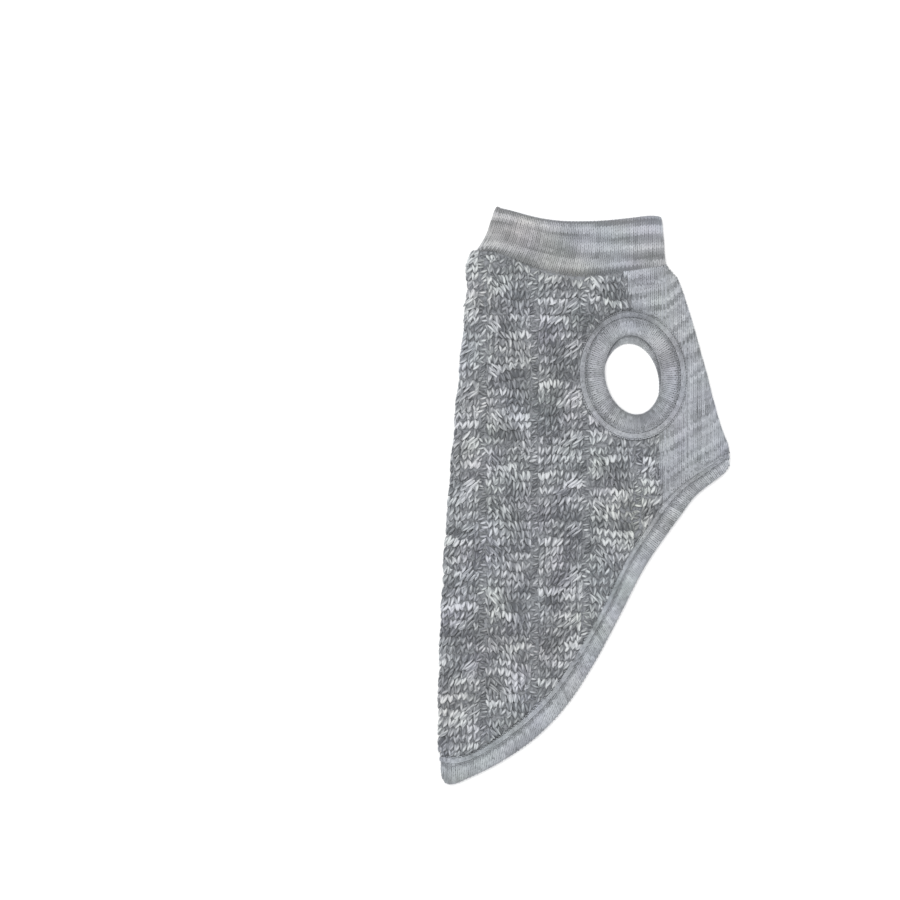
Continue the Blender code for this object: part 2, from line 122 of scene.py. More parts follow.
# Across a band from its seam to its free edge: a share of its width, millimetres over the hollow,
# and how much paler or darker the yarn is painted there: painted shade in the grooves, at the seams
# and at the free edges, painted highlight on the beads and the raised middles
COLLAR_PROFILE = table(Row, (0.0, 1.2, -0.42), (0.05, 2.1, -0.22), (0.12, 2.5, -0.16), (0.3, 2.5, -0.10),
                       (0.5, 2.6, 0.02), (0.86, 2.5, 0.0), (0.95, 2.1, 0.0), (1.0, 1.3, -0.05))
HEM_PROFILE = table(Row, (-0.12, 2.2, -0.24), (0.0, 2.5, 0.08), (0.08, 3.0, 0.12), (0.16, 2.6, 0.10),
                    (0.23, 2.0, -0.18), (0.32, 2.3, -0.08), (0.5, 2.7, 0.18), (0.72, 2.5, 0.0),
                    (0.86, 2.3, 0.06), (1.0, 1.3, -0.06))
ARMHOLE_PROFILE = table(Row, (-0.12, 2.2, -0.12), (0.0, 2.4, 0.06), (0.07, 3.0, 0.06), (0.15, 2.7, 0.08),
                        (0.22, 2.0, -0.24), (0.29, 2.4, -0.10), (0.42, 3.1, 0.02), (0.65, 3.1, 0.0),
                        (0.86, 2.7, -0.04), (1.0, 1.5, -0.18))
FAR_PROFILE = table(Row, (0.0, 1.1, 0.0), (1.0, 1.1, 0.0))
HEM_BEAD = (0.17, 0.28)         # where its groove begins and ends
ARMHOLE_BEAD = (0.165, 0.26)

# Soft creases: a trough where the depth is below nothing, and otherwise a ridge
UPPER_CREASES = table(
    Crease,
    (27.5, 129.5, 53.0, 135.5, 1.9, -0.8),
    (46.0, 44.0, 51.5, 17.0, 3.0, -0.9),
    (62.5, 60.0, 82.5, 51.0, 3.4, 0.6),
    (56.0, 12.0, 84.0, 29.0, 2.8, -0.6),
    (60.0, 92.0, 69.0, 97.5, 2.4, -0.5),
    (31.0, 50.0, 35.5, 33.5, 2.2, -0.5),
    (-62.0, 128.0, -18.0, 117.0, 6.0, -0.7),
    (-70.0, 76.0, -26.0, 84.0, 7.5, 0.6),
    (-20.0, 12.0, 30.0, 1.5, 6.5, -0.7),
    (-78.0, -28.0, -38.0, -19.0, 8.0, 0.6),
    (-46.0, -74.0, -5.0, -60.0, 6.0, -0.6),
    (-80.0, -122.0, -52.0, -104.0, 6.5, 0.5),
    (-49.0, 158.5, -39.5, 171.0, 2.6, -0.5),
    (41.5, 146.0, 38.5, 168.0, 3.0, -0.5))
LOWER_CREASES = table(
    Crease,
    (22.0, 127.0, 50.5, 131.0, 2.2, -0.6),
    (45.0, 38.0, 49.0, 14.0, 3.2, -0.7),
    (60.0, 70.0, 79.0, 58.0, 3.6, 0.4),
    (-64.0, 112.0, -22.0, 122.0, 6.5, -0.6),
    (-72.0, 40.0, -30.0, 31.0, 7.0, 0.4),
    (-30.0, -14.0, 18.0, -6.0, 6.0, -0.6),
    (-82.0, -84.0, -44.0, -70.0, 7.0, -0.5),
    (-47.0, 155.0, -41.0, 169.0, 2.8, -0.4))

# The cables, as in the solids
CABLE_WIDTH = 32.0
CABLE_REPEAT = 28.0
LADDER_X = -31.3

# The back's stitches. Each kind is turned and moved by chance, lies so high, and has its own yarn,
# some rows from the cables' own
Kind = namedtuple("Kind", "turn x y lift rows")
LEG = Kind(radians(8), 0.32, 0.5, -0.7, 0)
BAR = Kind(radians(14), 0.7, 0.4, -0.75, 40)        # of a purl ladder
STRAND = Kind(radians(5), 0.5, 0.8, -0.15, 80)      # over a crossing
WAYS = (1.0, -1.0)      # that one cable and the next cross
LADDER_HALF = 2.0       # half the width of the purl ladder between two cables
CABLE_DRAW = 1.5        # how far a crossing draws the rows up and down
CROSSING_SPAN = 0.24    # of the repeat, from a crossing's middle to where it fades
CROSSING_GAIN = 0.35    # how much longer and higher a crossing's legs are
CROSSING_SHUT = 0.6     # how far a crossing's legs close up
LEG_SPREAD = radians(24)
SPREADS = (0.75, 1.15)          # of the legs' usual spread, from one row to another
LEG_WIDTHS = (0.85, 1.1)        # of the yarn's thickness
LEG_ASIDE = 0.21        # of a V's width, from its middle to one of its legs
LEG_ROWS = 1.3          # length of a leg, in rows
LEG_PAINTED_LIGHT = 0.06        # painted light: how much paler the right leg of a V is, as if lit from that side
TILT = radians(9)       # a leg's foot lies over the stitch below it
FLAT_YARN = 0.8         # thickness of the yarn, of its width
TIP_REACH = 0.42        # of its length, from a leg's middle to where its tip touches the cloth
LEG_BEND = 0.2          # how far a leg's middle follows each of its tips
LOWEST = 0.55           # of its thickness, a leg's least height over what the garment lies on
SHORTEST = 1.5          # leg that is still laid at an edge of the back
BAR_LEAN = radians(24)
BAR_SWING = radians(26)         # how far a crossing beside it turns a bar
BAR_LENGTHS = (4.4, 7.4)
BAR_PAINTED_SHADE = 0.08         # painted shade: how much darker a bar is than a leg, deep between the cables
STRAND_LEAN = radians(48)
STRAND_LENGTHS = (8.5, 12.0)
STRAND_WIDTH = 0.75     # of the yarn's thickness
STRAND_HIGHLIGHT = 0.08     # painted highlight: how much paler a strand is than a leg, raised over a crossing
STRAND_AT = 0.78        # of its cable's width, where a long strand lies
STRAND_TURNS = range(-8, 8)     # more crossings than the back has, from one end to the other
COLLAR_TOP = 153.1      # where the back's rows end, under the collar
COLLAR_LAP = 0.6        # how far the back's stitches reach under the collar

# The chest's stitches
CORNER_BULGE = 1.2      # how far the knit bulges at the belly where the hem pulls it in
SEAM_STEP = 1.2         # how far the ribs reach over the side seam
SPARE_ROWS = 2          # at each end, to fill the chest to its seams
CHEST_START = 20.0      # where its ribs begin, short of its side seam
CHEST_RIBS = 90         # more than fit round the belly, counted from x = 0

# The bands' stitches
SEAM_COVER = 0.7        # of a stitch that lies over the seam
TRIM = 0.6              # of its usual length that a stitch of a groove has
SEAM_ROW = -0.12        # share of its band's width at which the row outside a bead starts
BEAD_START = -0.05      # and at which the bead starts
BEAD_CHAIN = 0.95       # length of a bead's stitch, of the room that it has
BEAD_STRAND = 0.44      # width of one of the strands side by side that make up a bead
BEAD_SPREAD = 0.25      # from one such strand to the next
BEAD_SUNK = 0.38        # of its thickness that a bead's middle strand lies in the cloth
BEAD_ROUND = 0.4        # how much deeper the strands beside it lie
BEAD_YARN = 1.3         # thickness of a bead's stitch, of the rest of its band
BEAD_DROP = 0.09        # how far in the near armhole's bead lies at its top and bottom
# Painted light on the armhole bands: paler on one side of each ring and darker on the other
RING_LIT_AT = radians(95.0)       # where round an armhole its band is palest
RING_PAINTED_LIGHT = 0.5         # painted light: how much paler it is there across the band's width
RING_EVENLY_LIT_AT = 0.35     # share of its width at which it is as pale all round
RING_DULL = 0.07        # how much darker the armhole bands are than the others
# Painted shade on the far armhole band where the near one covers it
FAR_BAND_PAINTED_SHADE = 0.18         # how much darker the far band is in the near one's opening
EDGE_PAINTED_SHADOW = 0.3          # and how much more at the very edge of that opening
EDGE_SHADOW_REACH = 1.6         # how far in from that edge the painted shadow reaches
LOWER_STRIPES = 500.0   # from the upper layer's stripes along the yarn to the lower one's
SEED = 7
CAMERA_AT = Point(-83.4, 28.5)
LAMP_AT = (-0.45, 0.5, 1.9)     # in metres

# Soft patches of the knit: their size along and across the rows, and how strong they are
LEAN_WANDER = Patch(9.0, 9.0, 3.0, radians(10))
ROW_WANDER = Patch(12.0, 14.0, 7.0, 1.1)
WALE_WANDER = Patch(13.0, 13.0, 1.0, 0.8)
# how much the painted light on the legs varies from place to place
LEG_SIDE_LIGHT_PATCH = Patch(16.0, 16.0, 6.0, 1.0)
HEATHER_PART = Patch(13.0, 17.0, 4.5, 0.2)
STRIPE_DRIFT = Patch(80.0, 30.0, 0.0, 0.25)
STRIPE_FADE = Patch(60.0, 11.0, 2.3, 0.6)
DYED_PART = Patch(18.0, 14.0, 3.9, 0.18)
DYED_RIB = Patch(1.7, 1.0, 9.1, 0.12)
BAND_STRETCH = Patch(13.0, 25.0, 0.0, 0.28)
BAND_RIB = Patch(1.7, 1.0, 9.1, 0.18)
CHEST_DRIFT = Patch(35.0, 22.0, 8.0, 0.6)
CHEST_PART = Patch(14.0, 9.0, 2.0, 0.1)
STRIPE_PITCH = 10.0     # from one stripe of the space-dyed yarn to the next
FINE_PITCH = 6.6        # the same for the chest's fine stripes

# the tips column is painted shade towards each stitch's tips
YARNS = {
    "cable yarn": Yarn("cable", 0.26, 0.7, 0.2, 0.0, 0.1),
    "rib yarn": Yarn("rib", 0.06, 0.3, 0.0, 0.0, 0.1),
    "collar yarn": Yarn("rib", 0.06, 0.3, 0.0, 0.025, 0.2),
}
MOTTLE = {"cable": 600.0, "rib": 700.0}         # how fine the mottling of a shell is


def length(name, description, default, least):
    """A size that a user can change."""
    return FloatProperty(name=name, description=description + ", in millimetres", default=default, min=least)


def colour(name, description, default):
    """A colour that a user can change."""
    return FloatVectorProperty(name=name, description=description, subtype="COLOR", default=default)


class StitchSettings(PropertyGroup):
    cable_width: length("Cable stitch width", "Across one V of the cable knit", 4.0, 2.0)
    cable_row: length("Cable row height", "From one row of the cable knit to the next", 5.1, 2.0)
    cable_yarn: length("Cable yarn", "Thickness of the cable knit's yarn", 2.35, 0.5)
    cable_lean: FloatProperty(
        name="Cable lean", description="How far stitches lean where a cable crosses",
        default=radians(30), subtype="ANGLE")
    rib_width: length("Rib width", "From one rib to the next", 2.4, 1.0)
    rib_row: length("Rib row height", "From one row of the rib knit to the next", 1.8, 0.8)
    rib_yarn: length("Rib yarn", "Thickness of the rib knit's yarn", 0.95, 0.3)


class YarnSettings(PropertyGroup):
    cable_pale: colour("Cable pale ply", "Palest ply of the heather yarn", (0.52, 0.535, 0.55))
    cable_middle: colour("Cable middle ply", "Middle ply of the heather yarn", (0.24, 0.25, 0.265))
    cable_dark: colour("Cable dark ply", "Darkest ply of the heather yarn", (0.085, 0.09, 0.099))
    rib_pale: colour("Rib pale stretch", "Palest stretch of the space-dyed yarn", (0.472, 0.491, 0.519))
    rib_middle: colour("Rib middle stretch", "Middle stretch of the space-dyed yarn", (0.34, 0.356, 0.382))
    rib_dark: colour("Rib dark stretch", "Darkest stretch of the space-dyed yarn", (0.178, 0.188, 0.201))


class StageSettings(PropertyGroup):
    floor_colour: colour("Floor", "Colour of the floor", (0.95, 0.95, 0.95))
    sky: FloatProperty(name="Sky", description="Strength of the light from all round", default=1.06)
    lamp: FloatProperty(name="Lamp", description="Power of the soft lamp, in watts", default=22.0)
    view_width: length("View width", "Width of what the camera sees", 558.0, 1.0)
    view_height: length("Camera height", "Height of the camera over the cloth", 3000.0, 1.0)


# Curves

def travelled(path, power=1.0):
    """How far each place of a path is along it, each step to a power."""
    return np.concatenate([[0.0], np.cumsum(np.hypot(*np.diff(path, axis=0).T) ** power)])


def smooth(points):
    """A smooth curve through the points, in steps of about half a millimetre."""
    points = np.array(points)
    path = np.array([2 * points[0] - points[1], *points, 2 * points[-1] - points[-2]])
    knots = travelled(path, 0.5)
    found = []
    for k in range(1, len(path) - 2):
        count = max(2, round(2 * np.hypot(*(path[k + 1] - path[k]))))
        for t in np.linspace(knots[k], knots[k + 1], count, endpoint=False):
            found.append(blended(path[k - 1:k + 3], knots[k - 1:k + 3], t))
    return np.array([*found, path[-2]])


def blended(points, knots, t):
    """The point at knot t on the curve through four points, by three rounds of blending neighbours."""
    blend = points
    for ends in (((0, 1), (1, 2), (2, 3)), ((0, 2), (1, 3)), ((1, 2),)):
        blend = [a + (b - a) * (t - knots[low]) / (knots[high] - knots[low])
                 for a, b, (low, high) in zip(blend, blend[1:], ends)]
    return blend[0]


def split(path, place):
    """The path before and after its nearest point to a place."""
    nearest = int(np.argmin(np.hypot(*(path - place).T)))
    return path[:nearest + 1], path[nearest:]


class Curve:
    """A path with its length, read at a share of that length."""

    def __init__(self, path):
        self.path = path
        self.marks = travelled(path)
        self.length = self.marks[-1]

    def at(self, share):
        mark = share * self.length
        return np.array([np.interp(mark, self.marks, side) for side in self.path.T])


# Folds

class Fold:
    """One fold of the garment: its line, and the direction from it into the cloth."""

    def __init__(self, line, inward):
        path = smooth(line)
        order = np.argsort(path[:, 1])
        self.heights = path[order, 1]
        self.edge = path[order, 0]
        self.inward = inward

    def x(self, y):
        return float(np.interp(y, self.heights, self.edge))

    def flat_x(self, y):
        """Where the fold ends and the flat begins."""
        return self.x(y) + self.inward * FOLD_RADIUS

    def inset(self, x, y):
        return max(0.0, (x - self.x(y)) * self.inward)

    def out(self, angle):
        """The way out of the cloth where the fold has turned by an angle, from 90 degrees on top."""
        return Vector((-self.inward * cos(angle), 0.0, sin(angle)))


NECK_PATH = smooth(NECK_SEAM)
SPINE = Fold(SPINE_LINE, 1.0)
BELLY = Fold(BELLY_LINE, -1.0)


def under_collar(spot):
    """True where the collar covers a place on the back."""
    return spot.y > np.interp(spot.x, NECK_PATH[:, 0], NECK_PATH[:, 1]) + COLLAR_LAP


def nearest_fold(x, y):
    return SPINE if SPINE.inset(x, y) < BELLY.inset(x, y) else BELLY


def creased(x, y, layer):
    """How far the creases of a layer lift or sink the cloth at x, y. Each bows aside a little."""
    lifted, bow, sharpness = 0.0, 0.06, 0.7
    for crease in UPPER_CREASES if layer > 0 else LOWER_CREASES:
        along = (crease.to_x - crease.x, crease.to_y - crease.y)
        run = hypot(*along)
        away = (x - crease.x, y - crease.y)
        share = (away[0] * along[0] + away[1] * along[1]) / run ** 2
        if 0.0 < share < 1.0:
            aside = (away[1] * along[0] - away[0] * along[1]) / run
            aside += bow * run * sin(pi * share)
            lifted += crease.depth * sin(pi * share) ** sharpness * exp(-(aside / crease.width) ** 2)
    return lifted


def frame_shift():
    """How far the solids were moved to stand on the middle of their own box."""
    low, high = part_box("armhole_band_far")
    middle = (low + high) / 2 / MILLIMETRE
    return Vector((middle.x - FAR_ARMHOLE.x, middle.y - FAR_ARMHOLE.y, 0.0))


SHIFT = frame_shift()


class Solid:
    """The outside of a node, found by looking in at it."""

    def __init__(self, node_name):
        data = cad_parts[node_name].data
        corners = [v.co / MILLIMETRE - SHIFT for v in data.vertices]
        self.tree = BVHTree.FromPolygons(corners, [p.vertices for p in data.polygons])

    def flat(self, layer, x, y):
        """The place and the way out on a layer over or under x, y, or nothing off the cloth."""
        far = Vector((x, y, MIDDLE + layer * ABOVE))
        place, out, _, _ = self.tree.ray_cast(far, Vector((0.0, 0.0, -layer)), ABOVE)
        if place is None or (place.z - MIDDLE) * layer < HOLLOW:
            return None
        return place + out * creased(x, y, layer), out

    def round(self, fold, angle, y):
        """The same where a fold has turned by an angle."""
        out = fold.out(angle)
        far = Vector((fold.flat_x(y), y, MIDDLE)) + out * ABOVE
        place, _, _, _ = self.tree.ray_cast(far, -out, ABOVE - HOLLOW)
        return None if place is None else (place, out)

    def unfolded(self, fold, x, y):
        """The same on the cloth as if it were unrolled from the upper layer round the fold."""
        past = (fold.flat_x(y) - x) * fold.inward
        if past <= 0:
            return self.flat(1, x, y)
        if past < HALF_TURN:
            return self.round(fold, pi / 2 - pi * past / HALF_TURN, y)
        return self.flat(-1, fold.flat_x(y) + fold.inward * (past - HALF_TURN), y)


# Nodes

def node(tree, kind, inputs=(), **settings):
    """The outputs of a new node, whose inputs are values or the outputs of other nodes."""
    made = tree.nodes.new(kind)
    for name, value in settings.items():
        setattr(made, name, value)
    for key, value in dict(inputs).items():
        if isinstance(value, NodeSocket):
            tree.links.new(value, made.inputs[key])
        else:
            made.inputs[key].default_value = value
    return made.outputs


def new_group(name, kind, inputs, outputs):
    """A node group and what its inputs give. Each input is a number, a colour or only a type of socket."""
    tree = bpy.data.node_groups.new(name, kind)
    for socket, value in inputs.items():
        sort = {float: "Float", tuple: "Color"}.get(type(value), value)
        made = tree.interface.new_socket(socket, in_out="INPUT", socket_type="NodeSocket" + sort)
        if sort != value:
            made.default_value = value
    for socket, sort in outputs.items():
        tree.interface.new_socket(socket, in_out="OUTPUT", socket_type="NodeSocket" + sort)
    return tree, node(tree, "NodeGroupInput")


def shared(name, make):
    """A node group that is made once."""
    return bpy.data.node_groups.get(name) or make(name)


# Stitches

class Stitches:
    """Many like stitches: where each lies, how it is turned, its size and its shade."""

    def __init__(self):
        self.places, self.turns, self.sizes, self.shades = [], [], [], []

    def add(self, place, turn, size, shade):
        self.places.append((place + SHIFT) * MILLIMETRE)
        self.turns.append(turn)
        self.sizes.append([side * MILLIMETRE for side in size])
        self.shades.append(shade)


def facing(up, out):
    """The turn that lays a stitch along up, with its face the way out."""
    out = out.normalized()
    up = (up - out * up.dot(out)).normalized()
    return Matrix((up.cross(out), up, out)).transposed().to_quaternion()


def grain(bands, sides, bow):
    """Points and faces of one leg of a stitch, long, round and pointed, with places around and along."""
    blunt, sag = 0.45, 0.25
    points = [Vector((0, -0.5, -sag))]
    for band in range(1, bands):
        t = band / bands
        girth = sin(pi * t) ** blunt / 2
        for side in range(sides):
            turn = 2 * pi * side / sides
            points.append(Vector((girth * cos(turn) + bow * (sin(pi * t) - 0.5), t - 0.5,
                                  girth * sin(turn) + sag * (sin(pi * t) - 1))))
    points.append(Vector((0, 0.5, -sag)))
    faces = []
    last = len(points) - 1
    for side in range(sides):
        here, there, middle = side / sides, (side + 1) / sides, (side + 0.5) / sides
        near, far = 1 + side, 1 + (side + 1) % sides
        step = sides * (bands - 2)
        faces.append(((0, middle, 0.0), (near, here, 1 / bands), (far, there, 1 / bands)))
        faces.append(((last, middle, 1.0), (far + step, there, 1 - 1 / bands),
                      (near + step, here, 1 - 1 / bands)))
        for band in range(1, bands - 1):
            low, high = sides * (band - 1), sides * band
            faces.append(((near + low, here, band / bands), (near + high, here, (band + 1) / bands),
                          (far + high, there, (band + 1) / bands), (far + low, there, band / bands)))
    return points, faces


def stitch_object(name, legs, bands, sides, bow):
    """A stitch to be repeated: each leg is a grain, turned by an angle about a place beside it."""
    mesh = bmesh.new()
    layer = mesh.loops.layers.uv.new("UVMap")
    points, faces = grain(bands, sides, bow)
    for turn, aside, size in legs:
        spin = Quaternion((0.0, 0.0, 1.0), turn).to_matrix().to_4x4()
        lay = Matrix.Translation((aside, 0, 0)) @ spin @ Matrix.Diagonal((*size, 1))
        verts = [mesh.verts.new(lay @ point) for point in points]
        for face in faces:
            made = mesh.faces.new([verts[i] for i, _, _ in face])
            for loop, (_, around, along) in zip(made.loops, face):
                loop[layer].uv = around, along
    bmesh.ops.recalc_face_normals(mesh, faces=mesh.faces)
    return bpy.data.objects.new(name, finished(mesh, name))


def finished(mesh, name):
    """The mesh as data, with its working copy let go."""
    data = bpy.data.meshes.new(name)
    mesh.to_mesh(data)
    mesh.free()
    return data


def placed(name, data):
    """A new object in the scene."""
    piece = bpy.data.objects.new(name, data)
    bpy.context.scene.collection.objects.link(piece)
    return piece


def stitch_tree(name):
    """Geometry nodes that lay a stitch on every point, turned and sized by the point's attributes."""
    tree, ends = new_group(
        name, "GeometryNodeTree",
        {"Points": "Geometry", "Stitch": "Object", "Yarn": "Material", "Size": 1.0}, {"Stitches": "Geometry"})
    stitch = node(tree, "GeometryNodeObjectInfo", {"Object": ends["Stitch"]})
    turn = node(tree, "GeometryNodeInputNamedAttribute", {"Name": "turn"}, data_type="QUATERNION")
    sides = node(tree, "GeometryNodeInputNamedAttribute", {"Name": "size"}, data_type="FLOAT_VECTOR")
    scale = node(tree, "ShaderNodeVectorMath", {0: sides["Attribute"], "Scale": ends["Size"]},
                 operation="SCALE")
    laid = node(tree, "GeometryNodeInstanceOnPoints",
                {"Points": ends["Points"], "Instance": stitch["Geometry"],
                 "Rotation": turn["Attribute"], "Scale": scale[0]})
    real = node(tree, "GeometryNodeRealizeInstances", {"Geometry": laid["Instances"]})
    dyed = node(tree, "GeometryNodeSetMaterial", {"Geometry": real[0], "Material": ends["Yarn"]})
    soft = node(tree, "GeometryNodeSetShadeSmooth", {"Geometry": dyed[0]})
    node(tree, "NodeGroupOutput", {0: soft[0]})
    return tree


def knitted(name, stitches, stitch, yarn):
    """The stitches as one plain mesh."""
    data = bpy.data.meshes.new(name)
    data.from_pydata(stitches.places, [], [])
    for attribute, kind, field, values in (("turn", "QUATERNION", "value", stitches.turns),
                                           ("size", "FLOAT_VECTOR", "vector", stitches.sizes),
                                           ("shade", "FLOAT", "value", stitches.shades)):
        made = data.attributes.new(attribute, kind, "POINT")
        made.data.foreach_set(field, np.ravel(values))
    points = placed(name + "_points", data)
    modifier = points.modifiers.new("stitches", "NODES")
    modifier.node_group = shared("stitches on points", stitch_tree)
    keys = {item.name: item.identifier for item in modifier.node_group.interface.items_tree}
    modifier[keys["Stitch"]] = stitch
    modifier[keys["Yarn"]] = yarn_material(yarn)
    shown = points.evaluated_get(bpy.context.evaluated_depsgraph_get())
    made = bpy.data.meshes.new_from_object(shown)
    bpy.data.objects.remove(points)
    bpy.data.objects.remove(stitch)
    bpy.data.meshes.remove(data)
    made.name = name
    press(made)
    for spent in ("turn", "size"):
        made.attributes.remove(made.attributes[spent])
    return placed(name, made)


def press(mesh):
    """Flattens the yarn where it rests on what is under the garment."""
    spots = np.empty(len(mesh.vertices) * 3)
    mesh.vertices.foreach_get("co", spots)
    spots[2::3] = np.maximum(spots[2::3], 0.0)
    mesh.vertices.foreach_set("co", spots)


# Shades, from 0 for the darkest yarn to 1 for the palest

def clamped(share):
    return min(1.0, max(0.0, share))


def value_noise(*place):
    """Smooth noise from about -1 to 1."""
    return 1.6 * noise.noise(Vector(place))


def patchy(patch, along, across, seed=0.0):
    """What a kind of patch does at a place."""
    return patch.strength * value_noise(along / patch.along, across / patch.across, seed + patch.seed)


def heather(column, row, x, y, dice):
    """The shade of one leg of a cable stitch: its row's stretch of yarn, its part, and its own chance."""
    long_run, short_run, usual, chance = 22.0, 7.0, 0.46, 0.06
    stretch = value_noise(x / long_run + 9.7 * column, row * 3.37, 0.5)
    stretch *= 0.42 if stretch > 0 else 0.22
    short = 0.22 * value_noise(x / short_run, row * 2.71, 8.5)
    return clamped(usual + stretch + short + patchy(HEATHER_PART, x, y) + dice.gauss(0.0, chance))


def space_dyed(along, across, seed, dice, strength=1.2):
    """The shade of a rib stitch: long soft streaks that lie in stripes along the rows."""
    run, slant, row, usual, chance = 38.0, 0.15, 2.6, 0.41, 0.06
    drift = patchy(STRIPE_DRIFT, along, across, seed)
    strength *= 0.8 + patchy(STRIPE_FADE, along, across, seed)
    stripe = -cos(2 * pi * (across / STRIPE_PITCH + drift)) * strength
    streak = value_noise(along / run + slant * across, across / row, seed + 5.7)
    shade = usual + 0.32 * stripe + 0.22 * streak + patchy(DYED_PART, along, across, seed)
    return clamped(shade + patchy(DYED_RIB, along, 0.5, seed) + dice.gauss(0.0, chance))


def cross_dyed(along, across, seed, dice, strength=1.0):
    """The shade of a rib stitch of a band, whose rows are short: soft stretches along the band."""
    usual, chance = 0.46, 0.12
    mottled = patchy(BAND_STRETCH, along, across, seed) + patchy(BAND_RIB, along, 0.5, seed)
    return usual + strength * (mottled + dice.gauss(0.0, chance))


# Materials

def new_material(name):
    material = bpy.data.materials.new(name)
    material.use_nodes = True
    shader = material.node_tree.nodes["Principled BSDF"]
    for socket, value in (("Roughness", 0.95), ("Specular IOR Level", 0.2),
                          ("Sheen Weight", 0.15), ("Sheen Roughness", 0.6)):
        shader.inputs[socket].default_value = value
    return material, shader


def dye(kind, ply):
    """A ply's colour in the cable knit or the ribs."""
    return (*getattr(bpy.context.scene.sweater_yarn, f"{kind}_{ply}"), 1.0)


def yarn_group(name):
    """Plies twisted along a stitch and the fibres on them, in three shades, with painted shade towards each
    stitch's tips.
    """
    tree, ends = new_group(
        name, "ShaderNodeTree",
        {"Shade": 0.5, "Plies": 2.0, "Twist": 0.8, "Marl": 0.2, "Fibres": 5.0, "Streaks": 0.5, "Tint": 0.09,
         "Bump": 0.5, "Tips": 0.0, "Warmth": 0.0, "Drift": 0.1, "Dark": (0.1, 0.1, 0.1, 1.0),
         "Middle": (0.3, 0.3, 0.3, 1.0), "Pale": (0.7, 0.7, 0.7, 1.0)},
        {"Colour": "Color", "Normal": "Vector"})
    ply_start, fibre_start = 37.0, 91.0         # so that each stitch has its own, from its shade
    fibre_length, tip_fade, relief = 1.4, 2.5, 0.0004

    def math(operation, *values, clamp=False):
        return node(tree, "ShaderNodeMath", enumerate(values), operation=operation, use_clamp=clamp)[0]

    def add(a, b):
        return math("ADD", a, b)

    def times(a, b):
        return math("MULTIPLY", a, b)

    def mix(share, a, b):
        return node(tree, "ShaderNodeMix", {"Factor": share, 6: a, 7: b}, data_type="RGBA")[2]

    def tinted(colour):
        """Drifts between green and violet over a finger's width, and warm and cool over two."""
        where = node(tree, "ShaderNodeTexCoord")["Object"]
        narrow = node(tree, "ShaderNodeTexNoise", {"Vector": where, "Scale": 45.0, "Detail": 1.0})[0]
        wide = node(tree, "ShaderNodeTexNoise", {"Vector": where, "W": 3.0, "Scale": 28.0, "Detail": 1.0},
                    noise_dimensions="4D")[0]
        green = times(math("SUBTRACT", narrow, 0.5), ends["Tint"])
        warm = add(times(math("SUBTRACT", wide, 0.5), ends["Drift"]), ends["Warmth"])
        cool = math("SUBTRACT", math("SUBTRACT", 1.0, green), warm)
        parts = node(tree, "ShaderNodeSeparateColor", {0: colour})
        return node(tree, "ShaderNodeCombineColor",
                    {0: times(parts[0], add(warm, 1.0)), 1: times(parts[1], add(green, 1.0)),
                     2: times(parts[2], cool)})[0]

    spot = node(tree, "ShaderNodeSeparateXYZ", {0: node(tree, "ShaderNodeUVMap", uv_map="UVMap")[0]})
    around, along = spot[0], spot[1]
    turned = add(times(around, ends["Plies"]), times(along, ends["Twist"]))
    turned = add(turned, times(ends["Shade"], ply_start))
    ply = math("SINE", times(turned, 2 * pi))
    streak = node(tree, "ShaderNodeCombineXYZ",
                  {0: times(turned, ends["Fibres"]), 1: times(along, fibre_length),
                   2: times(ends["Shade"], fibre_start)})[0]
    fibre = node(tree, "ShaderNodeTexNoise", {"Vector": streak, "Scale": 1.0, "Detail": 2.0})[0]
    loose = math("SUBTRACT", fibre, 0.5)
    shade = add(ends["Shade"], times(ply, ends["Marl"]))
    shade = add(shade, times(loose, ends["Streaks"]))
    # painted shade: each stitch darker towards its tips, where they tuck under the next row
    tip = math("POWER", math("ABSOLUTE", math("SUBTRACT", times(along, 2.0), 1.0)), tip_fade)
    shade = math("SUBTRACT", shade, times(tip, ends["Tips"]))
    lower = mix(math("MULTIPLY", shade, 2.0, clamp=True), ends["Dark"], ends["Middle"])
    upper = math("SUBTRACT", times(shade, 2.0), 1.0, clamp=True)
    bump = node(tree, "ShaderNodeBump", {"Distance": relief, "Height": add(times(ply, 0.5), loose),
                                         "Strength": ends["Bump"]})
    node(tree, "NodeGroupOutput", {"Colour": tinted(mix(upper, lower, ends["Pale"])), "Normal": bump[0]})
    return tree


def yarn_material(name):
    """The material of stitches, whose shade comes from each stitch's own attribute."""
    if name in bpy.data.materials:
        return bpy.data.materials[name]
    material, shader = new_material(name)
    tree = material.node_tree
    yarn = YARNS[name]
    # each stitch's shade holds its yarn's tone together with the painted light and shade laid on it
    shade = node(tree, "ShaderNodeAttribute", attribute_name="shade")["Fac"]
    made = node(tree, "ShaderNodeGroup",
                {"Shade": shade, "Marl": yarn.marl, "Streaks": yarn.streaks, "Tips": yarn.tips,
                 "Warmth": yarn.warmth, "Drift": yarn.drift, "Dark": dye(yarn.kind, "dark"),
                 "Middle": dye(yarn.kind, "middle"), "Pale": dye(yarn.kind, "pale")},
                node_tree=shared("plied yarn", yarn_group))
    tree.links.new(made["Colour"], shader.inputs["Base Color"])
    tree.links.new(made["Normal"], shader.inputs["Normal"])
    return material


